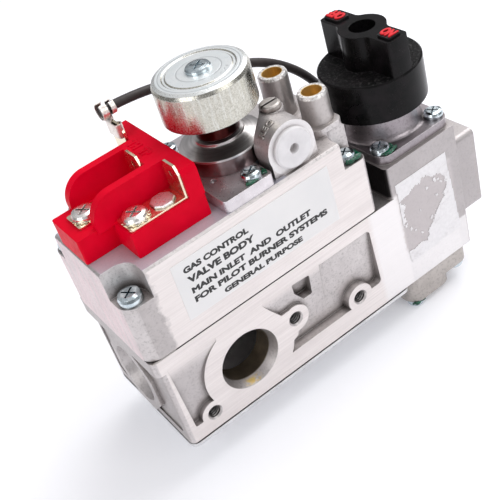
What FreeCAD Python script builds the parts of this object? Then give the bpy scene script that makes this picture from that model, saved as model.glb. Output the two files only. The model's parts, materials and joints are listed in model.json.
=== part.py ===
import FreeCAD, Part
import math
import os

# Combination gas valve, millimetres.
# The model is laid out from three datum planes of the lower body: x from its outlet end towards the
# inlet, y from its machined front face backwards, z from its underside upwards.
# Every piece is then moved so that the origin is on the inlet port's axis, where its plain bore begins.

V = FreeCAD.Vector
UP = V(0, 0, 1)
BACK = V(0, 1, 0)
ALONG = V(1, 0, 0)

# ---- lower body -----------------------------------------------------------------------------------
BODY_L = 122.0          # outlet end to inlet end, without the inlet boss
BODY_D = 48.0           # front to back
SPLIT_Z = 37.0          # flat top of the lower body, where the diaphragm sheet is clamped
LIP_X = -1.7            # outlet end lip
OUTLET_FACE = -0.9      # face of the outlet boss
TOWER_X = 91.6          # cock tower: its near side
TOWER_D = 36.0
TOWER_Z = 48.9
INLET_Y, INLET_Z = 18.0, 25.0
INLET_FACE = 132.0
INLET_BOSS = 30.0       # square inlet boss, across its flats
PORT_R = 9.2            # bore of a 1/2 inch pipe port, with its mouth opened to 10.5
PORT_MOUTH_R = 10.5
PORT_LEAD = 3.5         # depth of the cone in a port's mouth
SCREEN_R = 8.6
SIDE_X, SIDE_Z = 27.9, 16.2
OUTLET_Y, OUTLET_Z = 25.5, 15.5
OUTLET_X0 = 11.0        # inner end of the outlet port, where the outlet chamber begins
FRONT_TAPS = ((10.8, 6.2), (47.0, 18.9), (71.9, 9.6))
TAP_R = 2.1
TAP_DEPTH = 8.0
THICK_Z, THIN_Z = -11.0, -7.0       # undersides of the cover's two lobes

# ---- main valve -----------------------------------------------------------------------------------
MAIN_X, MAIN_Y = 46.0, 26.0
MAIN_R = 17.0           # diaphragm chamber
SEAT_Z = 31.0
SHEET_T = 0.5

# ---- head casting ---------------------------------------------------------------------------------
HEAD_X0, HEAD_X1 = -2.0, 86.0
HEAD_Z0 = SPLIT_Z + SHEET_T
HEAD_Z1 = 67.4
HEAD_SCREWS = ((2.4, 4.5), (81.3, 4.3), (2.4, 43.5), (81.3, 43.7))
POCKET_R = (5.0, 3.9, 5.0, 3.9)
POCKET_Z = 58.0

# ---- cock -----------------------------------------------------------------------------------------
COCK_X, COCK_Y = 106.9, 18.0
PLUG_R = 10.0
PUSH = 4.0              # travel of the knob when it is pressed to light the pilot
STEM_R = 2.5
BONNET_Z0, BONNET_Z1 = TOWER_Z + 0.3, TOWER_Z + 3.3
KNOB_R = 16.7
KNOB_Z0, KNOB_Z1, GRIP_Z = 61.8, 75.2, 87.0

# ---- operator -------------------------------------------------------------------------------------
OP_X, OP_Y = 51.9, 22.0
OP_BASE_T = 4.0
OP_Z = HEAD_Z1 + OP_BASE_T
DRUM_R = 12.8
CAN_R = 14.6
CAN_Z0, CAN_Z1 = 87.7, 100.0

# ---- regulator and test nipples -------------------------------------------------------------------
REG_X, REG_Z, REG_R = 62.9, 74.5, 8.2
REG_FACE = 2.0
REG_BORE = 4.8
NIPPLES = ((77.1, 26.7, 84.1, "rear"), (80.8, 13.2, 79.9, "front"))
NIPPLE_R = 4.7
NIPPLE_BORE = 3.1

# ---- terminal block -------------------------------------------------------------------------------
TB_Z1 = 75.6
TB_TOP = 84.8
BAYS = ((5.5, 15.4), (18.4, 31.2), (34.2, 45.9))

RUN = 0.05              # radial clearance of a running fit


# ---- shape helpers --------------------------------------------------------------------------------
def box(x0, x1, y0, y1, z0, z1):
    return Part.makeBox(x1 - x0, y1 - y0, z1 - z0, V(x0, y0, z0))


def post(x, y, z0, z1, r):
    """Upright cylinder."""
    return Part.makeCylinder(r, z1 - z0, V(x, y, z0), UP)


def bar_y(x, z, y0, y1, r):
    """Cylinder along y."""
    return Part.makeCylinder(r, y1 - y0, V(x, y0, z), BACK)


def bar_x(y, z, x0, x1, r):
    """Cylinder along x."""
    return Part.makeCylinder(r, x1 - x0, V(x0, y, z), ALONG)


def rounded_wire(points, radii, place):
    """Closed outline through points, each corner rounded with a tangent arc of its own radius."""
    edges = []
    ends = []
    count = len(points)
    for i in range(count):
        corner = V(*points[i], 0)
        before = (V(*points[i - 1], 0) - corner).normalize()
        after = (V(*points[(i + 1) % count], 0) - corner).normalize()
        r = radii[i]
        if r <= 0:
            ends.append((corner, None, corner))
            continue
        half = before.getAngle(after) / 2
        reach = r / math.tan(half)
        middle = (before + after).normalize()
        nearest = corner + middle * (r / math.sin(half) - r)
        ends.append((corner + before * reach, nearest, corner + after * reach))
    for i in range(count):
        start, nearest, end = ends[i]
        if nearest is not None:
            edges.append(Part.Arc(place(start), place(nearest), place(end)).toShape())
        edges.append(Part.LineSegment(place(end), place(ends[(i + 1) % count][0])).toShape())
    return Part.Wire(edges)


def prism(points, radius, z0, z1):
    """Upright prism; radius is one value or one per corner."""
    radii = radius if isinstance(radius, (list, tuple)) else [radius] * len(points)
    wire = rounded_wire(points, radii, lambda p: V(p.x, p.y, z0))
    return Part.Face(wire).extrude(V(0, 0, z1 - z0))


def slab(x0, x1, y0, y1, z0, z1, radius):
    """Upright box with rounded corners."""
    return prism(((x0, y0), (x1, y0), (x1, y1), (x0, y1)), radius, z0, z1)


def prism_y(points, radius, y0, y1):
    """Prism along y with its outline in x and z."""
    radii = radius if isinstance(radius, (list, tuple)) else [radius] * len(points)
    wire = rounded_wire(points, radii, lambda p: V(p.x, y0, p.y))
    return Part.Face(wire).extrude(V(0, y1 - y0, 0))


def prism_x(points, radius, x0, x1):
    """Prism along x with its outline in y and z."""
    radii = radius if isinstance(radius, (list, tuple)) else [radius] * len(points)
    wire = rounded_wire(points, radii, lambda p: V(x0, p.x, p.y))
    return Part.Face(wire).extrude(V(x1 - x0, 0, 0))


def turned(x, y, profile):
    """Solid of revolution about an upright axis; profile is a list of (radius, z)."""
    corners = [V(x + r, y, z) for r, z in profile]
    face = Part.Face(Part.makePolygon(corners + [corners[0]]))
    return face.revolve(V(x, y, 0), UP, 360)


def chamfer_top(shape, size):
    """Bevel the edges that lie in the highest plane of a plain prism."""
    top = shape.BoundBox.ZMax
    rim = [e for e in shape.Edges if e.BoundBox.ZMin > top - 0.01]
    return shape.makeChamfer(size, rim)


def cross_recess(x, y, z, size, depth):
    """Cutter for a cross recess in a screw head whose top is at z."""
    arm = size * 0.26
    one = box(x - size, x + size, y - arm / 2, y + arm / 2, z - depth, z + 1)
    two = box(x - arm / 2, x + arm / 2, y - size, y + size, z - depth, z + 1)
    turn = one.fuse(two)
    turn.rotate(V(x, y, z), UP, 37)
    return turn


def pan_screw(x, y, z, head_r, head_h, shank_r, length):
    """Pan head cross recess screw standing on a surface at z, shank downwards."""
    dome = turned(x, y, (
        (0, z), (head_r, z), (head_r, z + head_h * 0.55),
        (head_r * 0.9, z + head_h * 0.85), (head_r * 0.62, z + head_h), (0, z + head_h)))
    head = dome.cut(cross_recess(x, y, z + head_h, head_r * 0.62, head_h * 0.55))
    return head.fuse(post(x, y, z - length, z, shank_r))


def upside_down(shape, z):
    """The same shape, turned over about a line through height z."""
    return shape.mirror(V(0, 0, z), UP)


def spring(x, y, z0, z1, r, wire_r, turns):
    """Helical compression spring with its axis upright."""
    height = z1 - z0 - 2 * wire_r
    helix = Part.makeHelix(height / turns, height, r)
    helix.translate(V(x, y, z0 + wire_r))
    ring = Part.Wire([Part.Circle(V(x + r, y, z0 + wire_r), BACK, wire_r).toShape()])
    return Part.Wire(helix.Edges).makePipeShell([ring], True, True)


def joined(first, *others):
    """One clean solid from several."""
    for other in others:
        first = first.fuse(other)
    return first.removeSplitter()


def carved(shape, *cutters):
    """The shape with each cutter taken out in turn."""
    for cutter in cutters:
        shape = shape.cut(cutter)
    return shape


# ---- lower body -----------------------------------------------------------------------------------
def sloping_pocket(outline, radius, top_z, top_depth, low_z, low_depth):
    """Cutter for a pocket of the front face whose floor gets deeper downwards."""
    slope = (low_depth - top_depth) / (top_z - low_z)
    floor = prism_x(((-2, low_z - 3), (low_depth + 3 * slope, low_z - 3),
                     (top_depth - 2 * slope, top_z + 2), (-2, top_z + 2)), 0, -5, 95)
    return prism_y(outline, radius, -1, 8).common(floor)


def front_pockets():
    """Cored pockets of the front face, with the port's land and the tapped bosses left standing."""
    port_land = bar_y(SIDE_X, SIDE_Z, -2, 20, 16.9)
    boss_1 = bar_y(*FRONT_TAPS[0], -2, 20, 4.7)
    boss_2 = bar_y(*FRONT_TAPS[1], -2, 20, 5.0)
    boss_3 = bar_y(*FRONT_TAPS[2], -2, 20, 5.0)
    left = sloping_pocket(((2.2, 32.6), (19.5, 32.6), (19.5, 5.8), (3.4, 5.8)), (0.8, 0.5, 0.5, 0.8),
                          32.6, 0.05, 5.8, 2.3)
    upper = sloping_pocket(((36.8, 32.5), (60.7, 32.5), (60.7, 22.2), (51.3, 22.2), (45.7, 23.6),
                            (42.5, 23.6), (39.2, 28.4)),
                           (0.8, 0.0, 0.0, 0.8, 0.5, 0.5, 0.8), 32.5, 0.05, 22.2, 1.5)
    lower = sloping_pocket(((41.3, 7.3), (60.7, 7.3), (60.7, 22.3), (50.0, 22.3), (46.0, 12.4),
                            (43.0, 11.1)),
                           (0.8, 0.0, 0.0, 0.5, 0.5, 0.8), 22.3, 1.5, 7.3, 3.5)
    right = sloping_pocket(((60.0, 32.2), (80.8, 32.2), (81.3, 9.7), (70.0, 9.7), (70.0, 7.3), (60.0, 7.3)),
                           (0.0, 1.5, 1.5, 0.5, 0.8, 0.0), 32.2, 0.6, 9.7, 3.2)
    wedge = sloping_pocket(((48.9, 31.6), (55.8, 31.0), (55.8, 22.7), (52.4, 22.7), (49.3, 27.4)),
                           (0.5, 0.8, 0.5, 0.5, 0.5), 31.6, 0.9, 22.7, 5.0)
    return [left.cut([port_land, boss_1]), upper.cut(boss_2), lower.cut([port_land, boss_2]),
            right.cut(boss_3), wedge.cut(boss_2)]


def outlet_end():
    """Shallow recess of the outlet end and its eight-sided boss, as (cutter, boss)."""
    recess = prism_x(((3.5, 3.2), (45.0, 3.2), (45.0, 29.5), (3.5, 29.5)), 2.0, -3, 0.5)
    flat = 13.3
    side = flat * math.tan(math.pi / 8)
    ring = ((flat, -side), (flat, side), (side, flat), (-side, flat),
            (-flat, side), (-flat, -side), (-side, -flat), (side, -flat))
    boss = prism_x([(OUTLET_Y + a, OUTLET_Z + b) for a, b in ring], 1.0, OUTLET_FACE, 5)
    return recess, boss


def port(mouth, inward, depth):
    """Cutter for a pipe port: a mouth opened by a cone, then the plain bore."""
    lead_in = Part.makeCone(PORT_MOUTH_R, PORT_R, PORT_LEAD, mouth, inward)
    outside = Part.makeCylinder(PORT_MOUTH_R, 2, mouth - inward * 2, inward)
    return lead_in.fuse([Part.makeCylinder(PORT_R, depth, mouth, inward), outside])


def tapped_hole(x, z):
    """Cutter for a tapped hole in the front face, with a countersunk mouth."""
    sink = Part.makeCone(TAP_R + 0.6, TAP_R, 0.6, V(x, 0, z), BACK)
    return bar_y(x, z, -1, TAP_DEPTH, TAP_R).fuse(sink)


def lower_body():
    body = slab(0, BODY_L, 0, BODY_D, 0, SPLIT_Z, (2.0, 1.2, 2.0, 2.0))
    recess, outlet_boss = outlet_end()
    body = body.cut(recess)
    lip = slab(LIP_X, 5, 0, BODY_D, 31.4, SPLIT_Z, (2.4, 0.1, 0.1, 2.4))
    tower = slab(TOWER_X, BODY_L, 0, TOWER_D, SPLIT_Z - 1, TOWER_Z, (1.6, 1.2, 1.6, 2.0))
    half = INLET_BOSS / 2
    inlet = prism_x(((INLET_Y - half, INLET_Z - half), (INLET_Y + half, INLET_Z - half),
                     (INLET_Y + half, INLET_Z + half), (INLET_Y - half, INLET_Z + half)),
                    2.0, BODY_L - 3, INLET_FACE)
    gland_boss = post(108.0, 42.0, SPLIT_Z - 1, SPLIT_Z + 1.5, 4.6)
    body = joined(body, lip, outlet_boss, tower, inlet, gland_boss)
    hollows = front_pockets()
    hollows.append(port(V(SIDE_X, 0, SIDE_Z), BACK, 12))
    hollows.append(port(V(OUTLET_FACE, OUTLET_Y, OUTLET_Z), ALONG, 12))
    hollows.append(port(V(INLET_FACE, INLET_Y, INLET_Z), V(-1, 0, 0), 13))
    hollows.append(bar_x(INLET_Y, INLET_Z, 118.2, 120, SCREEN_R))
    hollows += [tapped_hole(x, z) for x, z in FRONT_TAPS]
    # outlet chamber and a second cored hollow, both open underneath
    hollows.append(slab(OUTLET_X0, 64, 10, 40, -1, 24, 3))
    hollows.append(slab(68.5, 89, 9, 43, -1, 24, 3))
    # diaphragm chamber around the main seat, and the hole through the seat
    ring = post(MAIN_X, MAIN_Y, 27, SPLIT_Z + 1, MAIN_R)
    ring = ring.cut(post(MAIN_X, MAIN_Y, 26, SEAT_Z, 8.5))
    hollows += [ring, post(MAIN_X, MAIN_Y, 20, SPLIT_Z, 6.5)]
    # gas way from the cock to the diaphragm chamber, and from the inlet to the safety chamber
    hollows.append(box(58, 99, 14, 22, 28, 34))
    hollows.append(box(110, 121, 13, 23, 9, 19))
    # cock bore, safety seat and safety chamber on the knob's axis
    hollows.append(post(COCK_X, COCK_Y, 22, TOWER_Z + 1, PLUG_R + RUN))
    hollows.append(post(COCK_X, COCK_Y, -1, 20, 9.0))
    hollows.append(post(COCK_X, COCK_Y, 19, 23, 5.5))
    # way for the magnet's wire
    hollows.append(post(108.0, 42.0, 8, SPLIT_Z + 2, 1.8))
    hollows.append(bar_y(108.0, 9.8, 24, 42, 1.8))
    # screw holes
    hollows += [post(x, y, SPLIT_Z - 12, SPLIT_Z + 1, 1.9) for x, y in HEAD_SCREWS]
    hollows += [post(x, y, TOWER_Z - 9, TOWER_Z + 1, 1.6) for x, y in bonnet_screw_places()]
    hollows += [post(x, y, -1, 7, 1.6) for x, y in bottom_screw_places()]
    hollows += [post(x, y, -1, 9, 1.6) for x, y, _ in cover_screw_places()]
    return carved(body, *hollows)


def bottom_screw_places():
    return [(x, y) for y in (4.6, 43.4) for x in (4.6, 58.0, 88.6)]


def cover_screw_places():
    return [(x, y, z) for y in (4.2, 31.8) for x, z in ((96.6, THICK_Z), (116.4, THIN_Z))]


def bottom_plate():
    plate = slab(-0.2, 92.3, -0.3, BODY_D + 0.3, -1.6, -0.4, 3.0)
    return carved(plate, *[post(x, y, -3, 1, 1.6) for x, y in bottom_screw_places()])


def bottom_gasket():
    sheet = slab(0.6, 91.4, 0.6, BODY_D - 0.6, -0.4, 0, 2.5)
    holes = [post(x, y, -3, 1, 1.6) for x, y in bottom_screw_places()]
    return carved(sheet, *holes, slab(OUTLET_X0, 64, 10, 40, -1, 1, 3), slab(68.5, 89, 9, 43, -1, 1, 3))


def bottom_screws():
    return [upside_down(pan_screw(x, y, -1.6, 3.1, 2.4, 1.6, 8.0), -1.6)
            for x, y in bottom_screw_places()]


def bottom_cover():
    """Cast cover under the cock tower, in two rounded lobes of different thickness."""
    thick = slab(93.0, 111.8, 0.8, 35.2, THICK_Z, 0, 5.0)
    thin = slab(104.0, 120.8, 0.8, 35.2, THIN_Z, 0, 4.4)
    cover = joined(thick, thin)
    cover = cover.cut(post(COCK_X, COCK_Y, -5.0, 1, 7.05))
    holes = [post(x, y, THICK_Z - 1, 1, 1.6) for x, y, _ in cover_screw_places()]
    return carved(cover, *holes)


def cover_screws():
    return [upside_down(pan_screw(x, y, z, 3.1, 2.4, 1.6, 7.8 - z), z) for x, y, z in cover_screw_places()]


def inlet_screen():
    """Perforated strainer disc at the bottom of the inlet port."""
    disc = bar_x(INLET_Y, INLET_Z, 118.2, 118.7, SCREEN_R)
    holes = []
    for ring_r, count in ((0, 1), (2.5, 6), (4.9, 12), (7.2, 18)):
        for i in range(count):
            a = 2 * math.pi * i / count
            y = INLET_Y + ring_r * math.cos(a)
            z = INLET_Z + ring_r * math.sin(a)
            holes.append(bar_x(y, z, 118, 119, 0.7))
    return carved(disc, *holes)


# ---- main valve -----------------------------------------------------------------------------------
def main_diaphragm():
    """Rubber sheet clamped between the castings, open where the moving plate passes."""
    sheet = slab(HEAD_X0 + 0.3, HEAD_X1 - 0.3, 0.3, BODY_D - 0.3, SPLIT_Z, HEAD_Z0, 4.0)
    holes = [post(x, y, SPLIT_Z - 1, HEAD_Z0 + 1, 1.9) for x, y in HEAD_SCREWS]
    return carved(sheet, *holes, post(MAIN_X, MAIN_Y, SPLIT_Z - 1, HEAD_Z0 + 1, 12.4))


def main_valve():
    """Poppet with a rubber-faced disc and a stem up to the diaphragm plate."""
    return turned(MAIN_X, MAIN_Y, (
        (0, SEAT_Z), (9.6, SEAT_Z), (10.0, SEAT_Z + 0.4), (10.0, SEAT_Z + 2.2),
        (3.2, SEAT_Z + 2.8), (2.4, SEAT_Z + 4.0), (2.4, SPLIT_Z), (0, SPLIT_Z)))


def main_valve_plate():
    """Dished plate that backs the diaphragm's centre."""
    return turned(MAIN_X, MAIN_Y, (
        (0, SPLIT_Z), (12.0, SPLIT_Z), (12.0, SPLIT_Z + 1.6), (11.2, SPLIT_Z + 1.6),
        (11.2, SPLIT_Z + 0.8), (3.0, SPLIT_Z + 0.8), (3.0, SPLIT_Z + 2.0), (0, SPLIT_Z + 2.0)))


def main_valve_spring():
    return spring(MAIN_X, MAIN_Y, SPLIT_Z + 0.8, 49.0, 6.0, 0.5, 4)


# ---- head casting ---------------------------------------------------------------------------------
def screw_pockets():
    """Cutters for the four corner screw pockets, open to the front or back and to the nearer end."""
    cutters = []
    for (x, y), r in zip(HEAD_SCREWS, POCKET_R):
        front = y < BODY_D / 2
        y0, y1 = (-1, y) if front else (y, BODY_D + 1)
        cutters.append(post(x, y, POCKET_Z, HEAD_Z1 + 1, r))
        cutters.append(box(x - r, x + r, y0, y1, POCKET_Z, HEAD_Z1 + 1))
        reach = y + r if front else y - r
        x0, x1 = (-4, x) if x < 20 else (x, HEAD_X1 + 2)
        cutters.append(box(x0, x1, min(reach, y0), max(reach, y1), POCKET_Z, HEAD_Z1 + 1))
    return cutters


def nipple(x, y, top):
    """Test nipple cast with the head: tapered foot, straight upper part for a hose."""
    return turned(x, y, ((0, HEAD_Z1 - 1), (5.4, HEAD_Z1 - 1), (NIPPLE_R, HEAD_Z1 + 5),
                         (NIPPLE_R, top - 0.8), (NIPPLE_R - 0.4, top), (0, top)))


def head_casting():
    block = slab(HEAD_X0, HEAD_X1, 0, BODY_D, HEAD_Z0, HEAD_Z1, (5.0, 2.0, 2.0, 5.0))
    block = chamfer_top(block, 0.7)
    reg_web = box(REG_X - REG_R + 0.4, REG_X + REG_R, REG_FACE, 16.6, HEAD_Z1 - 1, REG_Z)
    reg_boss = bar_y(REG_X, REG_Z, REG_FACE, 16.6, REG_R)
    vent_boss = post(65.6, 12.6, REG_Z, 82.7, 3.7)
    pad = slab(75.2, 85.6, 7.0, 34.0, HEAD_Z1 - 1, HEAD_Z1 + 2.6, 2.5)
    head = joined(block, reg_web, reg_boss, vent_boss, pad,
                  *[nipple(x, y, top) for x, y, top, _ in NIPPLES])
    hollows = screw_pockets()
    hollows.append(post(OP_X, OP_Y, HEAD_Z1, REG_Z + 12, DRUM_R + 0.4))
    hollows.append(post(MAIN_X, MAIN_Y, HEAD_Z0 - 1, 49, MAIN_R))
    hollows.append(post(OP_X, OP_Y, 60, HEAD_Z1 + 1, 5.0).cut(post(OP_X, OP_Y, 59, 61, 2.3)))
    hollows.append(post(OP_X, OP_Y, 48, 62, 1.5))
    hollows.append(bar_y(REG_X, REG_Z, REG_FACE - 1, 9.4, REG_BORE))
    hollows.append(post(65.6, 12.6, 77.5, 84, 1.9))
    hollows += [post(x, y, 60, top + 1, NIPPLE_BORE) for x, y, top, _ in NIPPLES]
    hollows += [post(x, y, HEAD_Z0 - 1, HEAD_Z1, 1.9) for x, y in HEAD_SCREWS]
    hollows += [post(x, y, HEAD_Z1 - 7, HEAD_Z1 + 1, 1.5) for x, y in operator_screw_places()]
    return carved(head, *hollows)


def head_screws():
    depth = POCKET_Z - SPLIT_Z + 9
    return [pan_screw(x, y, POCKET_Z, 3.7 if x < 20 else 3.2, 2.9, 1.9, depth) for x, y in HEAD_SCREWS]


def nipple_screw(x, y, top):
    """Brass needle screw deep in a test nipple, with a driver slot."""
    face = top - 3.4
    screw = turned(x, y, ((0, face - 10), (NIPPLE_BORE - RUN, face - 8), (NIPPLE_BORE - RUN, face - 0.4),
                          (NIPPLE_BORE - 0.5, face), (0, face)))
    return screw.cut(box(x - 4, x + 4, y - 0.45, y + 0.45, face - 1.2, face + 1))


# ---- regulator ------------------------------------------------------------------------------------
def regulator_cap():
    """Nylon cap: domed disc, threaded plug and a small centre hole."""
    rim = Part.makeCone(5.9, 6.4, 0.5, V(REG_X, REG_FACE - 1.4, REG_Z), BACK)
    disc = bar_y(REG_X, REG_Z, REG_FACE - 0.9, REG_FACE, 6.4)
    plug = bar_y(REG_X, REG_Z, REG_FACE, REG_FACE + 2.5, REG_BORE - RUN)
    hole = Part.makeCone(1.6, 0.9, 1.8, V(REG_X, REG_FACE - 1.4, REG_Z), BACK)
    return joined(disc, rim, plug).cut(hole)


def regulator_adjuster():
    screw = bar_y(REG_X, REG_Z, 4.8, 6.6, REG_BORE - RUN)
    return screw.cut(box(REG_X - 6, REG_X + 6, 4, 5.6, REG_Z - 0.5, REG_Z + 0.5))


def regulator_spring():
    coil = spring(0, 0, 0, 2.0, 3.2, 0.25, 3)
    coil.rotate(V(0, 0, 0), ALONG, -90)
    coil.translate(V(REG_X, 6.6, REG_Z))
    return coil


def regulator_disc():
    return bar_y(REG_X, REG_Z, 8.6, 9.4, 4.0)


def vent_screw():
    """Slotted plug screw on top of the regulator boss."""
    head = turned(65.6, 12.6, ((0, 82.7), (3.2, 82.7), (3.2, 84.1), (2.7, 84.5), (0, 84.5)))
    head = head.cut(box(61, 70, 12.1, 13.1, 83.4, 85))
    return head.fuse(post(65.6, 12.6, 78.5, 82.7, 1.85))


# ---- operator -------------------------------------------------------------------------------------
def operator_screw_places():
    return [(49.3, 4.7), (41.2, 38.8), (62.4, 38.8)]


def operator_base():
    """Flat plate that carries the operator, notched for the regulator boss."""
    outline = ((36.8, 0.8), (54.0, 0.8), (54.0, 17.1), (67.4, 17.1), (67.4, 43.2), (36.8, 43.2))
    plate = prism(outline, (1.5, 1.0, 1.0, 2.5, 4.0, 4.0), HEAD_Z1, OP_Z)
    holes = [post(x, y, HEAD_Z1 - 1, OP_Z + 1, 1.5) for x, y in operator_screw_places()]
    holes.append(post(OP_X, OP_Y, HEAD_Z1 - 1, OP_Z + 1, 5.0))
    holes.append(post(41.1, 12.6, OP_Z - 0.8, OP_Z + 1, 1.0))
    return carved(plate, *holes)


def operator_base_screws():
    return [pan_screw(x, y, OP_Z, 3.2, 2.2, 1.5, 9.0) for x, y in operator_screw_places()]


def operator_neck():
    """Turned drum, sloping shoulder and neck that the coil sits on, bored for the plunger."""
    shoulder = 76.9
    profile = ((4.2, OP_Z), (DRUM_R - 0.3, OP_Z), (DRUM_R - 0.3, shoulder - 0.8), (DRUM_R, shoulder - 0.6),
               (DRUM_R, shoulder), (8.2, 78.4), (7.7, 78.6), (7.7, 79.4), (6.3, 79.8), (6.3, 88.6),
               (4.2, 88.6))
    return turned(OP_X, OP_Y, profile)


def pole_core():
    """Fixed steel core with the hole for the can's screw."""
    core = turned(OP_X, OP_Y, ((0, 84.5), (4.2, 84.5), (4.2, 88.6), (3.0, 88.6), (3.0, 99.2), (0, 99.2)))
    return core.cut(post(OP_X, OP_Y, 93, 100, 1.6))


def coil_bobbin():
    return turned(OP_X, OP_Y, ((3.0, 88.6), (11.8, 88.6), (11.8, 89.5), (4.2, 89.5),
                               (4.2, 98.0), (11.8, 98.0), (11.8, 98.9), (3.0, 98.9)))


def coil_winding():
    return turned(OP_X, OP_Y, ((4.2, 89.5), (11.4, 89.5), (11.4, 98.0), (4.2, 98.0)))


def coil_can():
    """Drawn can with a rounded shoulder, open underneath."""
    outer = [(CAN_R, CAN_Z0), (CAN_R, CAN_Z1 - 1.6), (CAN_R - 0.5, CAN_Z1 - 0.5), (CAN_R - 1.6, CAN_Z1)]
    raised = [(11.2, CAN_Z1), (10.8, CAN_Z1 - 0.3), (10.2, CAN_Z1 - 0.3), (9.8, CAN_Z1), (1.6, CAN_Z1)]
    inner = [(1.6, CAN_Z1 - 0.8), (CAN_R - 1.8, CAN_Z1 - 0.8), (CAN_R - 0.8, CAN_Z1 - 1.8),
             (CAN_R - 0.8, CAN_Z0)]
    return turned(OP_X, OP_Y, outer + raised + inner)


def can_screw():
    return pan_screw(OP_X, OP_Y, CAN_Z1, 3.9, 1.5, 1.6, 6.5)


def armature():
    """Plunger that lifts off the operator's seat when the coil is energised."""
    plunger = post(OP_X, OP_Y, 62.3, 83.3, 3.9)
    bottom = Part.makeCone(3.0, 3.9, 1.0, V(OP_X, OP_Y, 62.3), UP)
    lower = post(OP_X, OP_Y, 62.3, 63.3, 5).cut(bottom)
    return carved(plunger, lower, post(OP_X, OP_Y, 78.5, 84, 2.9))


def armature_seal():
    return post(OP_X, OP_Y, 61.0, 62.3, 2.9)


def armature_spring():
    return spring(OP_X, OP_Y, 78.5, 84.5, 2.2, 0.35, 5)


# ---- cock and knob --------------------------------------------------------------------------------
def bonnet_screw_places():
    return [(COCK_X + dx, COCK_Y + dy) for dy in (-12.5, 12.5) for dx in (-11.6, 11.6)]


def bonnet_outline(z0, z1):
    return slab(COCK_X - 14.8, COCK_X + 14.8, 1.2, 34.8, z0, z1, 4.0)


def bonnet_gasket():
    sheet = bonnet_outline(TOWER_Z, BONNET_Z0)
    holes = [post(x, y, TOWER_Z - 1, BONNET_Z1, 1.6) for x, y in bonnet_screw_places()]
    return carved(sheet, *holes, post(COCK_X, COCK_Y, TOWER_Z - 1, BONNET_Z1, PLUG_R + RUN))


def bonnet():
    """Plate with a flared round neck that guides the stem."""
    plate = bonnet_outline(BONNET_Z0, BONNET_Z1)
    flare = [(14.4 - 2.0 * math.sin(a), BONNET_Z1 + 4.0 * (1 - math.cos(a)))
             for a in [math.pi / 2 * i / 6 for i in range(7)]]
    neck = turned(COCK_X, COCK_Y, [(0, BONNET_Z1 - 1), (14.4, BONNET_Z1 - 1)] + flare
                  + [(12.2, 63.4), (11.6, 64.0), (0, 64.0)])
    holes = [post(x, y, TOWER_Z - 1, BONNET_Z1, 1.6) for x, y in bonnet_screw_places()]
    heads = [post(x, y, BONNET_Z1, BONNET_Z1 + 6, 3.6) for x, y in bonnet_screw_places()]
    body = joined(plate, neck)
    return carved(body, *holes, *heads, post(COCK_X, COCK_Y, TOWER_Z - 1, 66, STEM_R + RUN))


def bonnet_screws():
    return [pan_screw(x, y, BONNET_Z1, 3.15, 2.3, 1.6, 11.0) for x, y in bonnet_screw_places()]


def cock_plug():
    """Hollow plug; its side window faces backwards when the cock is off."""
    plug = turned(COCK_X, COCK_Y, ((0, 23), (PLUG_R, 23), (PLUG_R, 43), (0, 43)))
    hollow = post(COCK_X, COCK_Y, 22, 39.5, 6.6)
    window = box(COCK_X - 3.6, COCK_X + 3.6, COCK_Y + 2, COCK_Y + 12, 28, 34)
    return carved(plug, hollow, window, post(COCK_X, COCK_Y, 39, 44, STEM_R + RUN))


def plug_spring():
    return spring(COCK_X, COCK_Y, 43.0, BONNET_Z0, 7.6, 0.55, 3)


def cock_stem():
    stem = turned(COCK_X, COCK_Y, ((0, 20.05), (1.8, 20.05), (STEM_R, 20.8), (STEM_R, 80.0), (0, 80.0)))
    groove = post(COCK_X, COCK_Y, 48.1, 48.9, 4).cut(post(COCK_X, COCK_Y, 48, 49, 2.0))
    return carved(stem, groove, post(COCK_X, COCK_Y, 73.5, 81, 1.4))


def stem_clip():
    """Retaining ring in the stem's groove."""
    ring = post(COCK_X, COCK_Y, 48.1, 48.9, 4.4).cut(post(COCK_X, COCK_Y, 48, 49, 2.0))
    return ring.cut(box(COCK_X - 1.5, COCK_X + 1.5, COCK_Y, COCK_Y + 6, 48, 49))


def knob_screw():
    return pan_screw(COCK_X, COCK_Y, 80.0, 3.4, 1.9, 1.4, 6.0)


def knob_grip():
    """Bar with a round hub, the hub running into the bar in small hollows."""
    half, end, hub, hollow = 4.0, 16.4, 7.5, 3.4
    corner = ((half, end, 1.5), (half, 6.643, hollow), (11.25, 0, hub), (half, -6.643, hollow),
              (half, -end, 1.5))
    right = [(COCK_X + x, COCK_Y + y, r) for x, y, r in corner]
    left = [(COCK_X - x, COCK_Y + y, r) for x, y, r in reversed(corner)]
    outline = right + left
    grip = prism([p[:2] for p in outline], [p[2] for p in outline], KNOB_Z1 - 1, GRIP_Z)
    return grip.common(post(COCK_X, COCK_Y, KNOB_Z1 - 2, GRIP_Z + 1, KNOB_R - 0.4))


def knob():
    drum = turned(COCK_X, COCK_Y, ((0, 68.5), (5.0, 68.5), (5.0, 72.0), (KNOB_R - 2.0, 72.0),
                                   (KNOB_R - 2.0, KNOB_Z0), (KNOB_R, KNOB_Z0), (KNOB_R, KNOB_Z1 - 0.5),
                                   (KNOB_R - 0.5, KNOB_Z1), (0, KNOB_Z1)))
    whole = joined(drum, knob_grip())
    return carved(whole, post(COCK_X, COCK_Y, 60, 81, STEM_R), post(COCK_X, COCK_Y, 80, GRIP_Z + 1, 4.2))


def knob_spring():
    return spring(COCK_X, COCK_Y, 64.0, 72.0, 7.0, 0.6, 4)


def letter_pads():
    """Raised pads at both ends of the grip, which carry the letters."""
    return [slab(COCK_X - 2.5, COCK_X + 2.5, COCK_Y + y - half, COCK_Y + y + half,
                 GRIP_Z, GRIP_Z + 0.7, 0.8)
            for y, half in ((-12.2, 2.8), (12.0, 3.5))]


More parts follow.
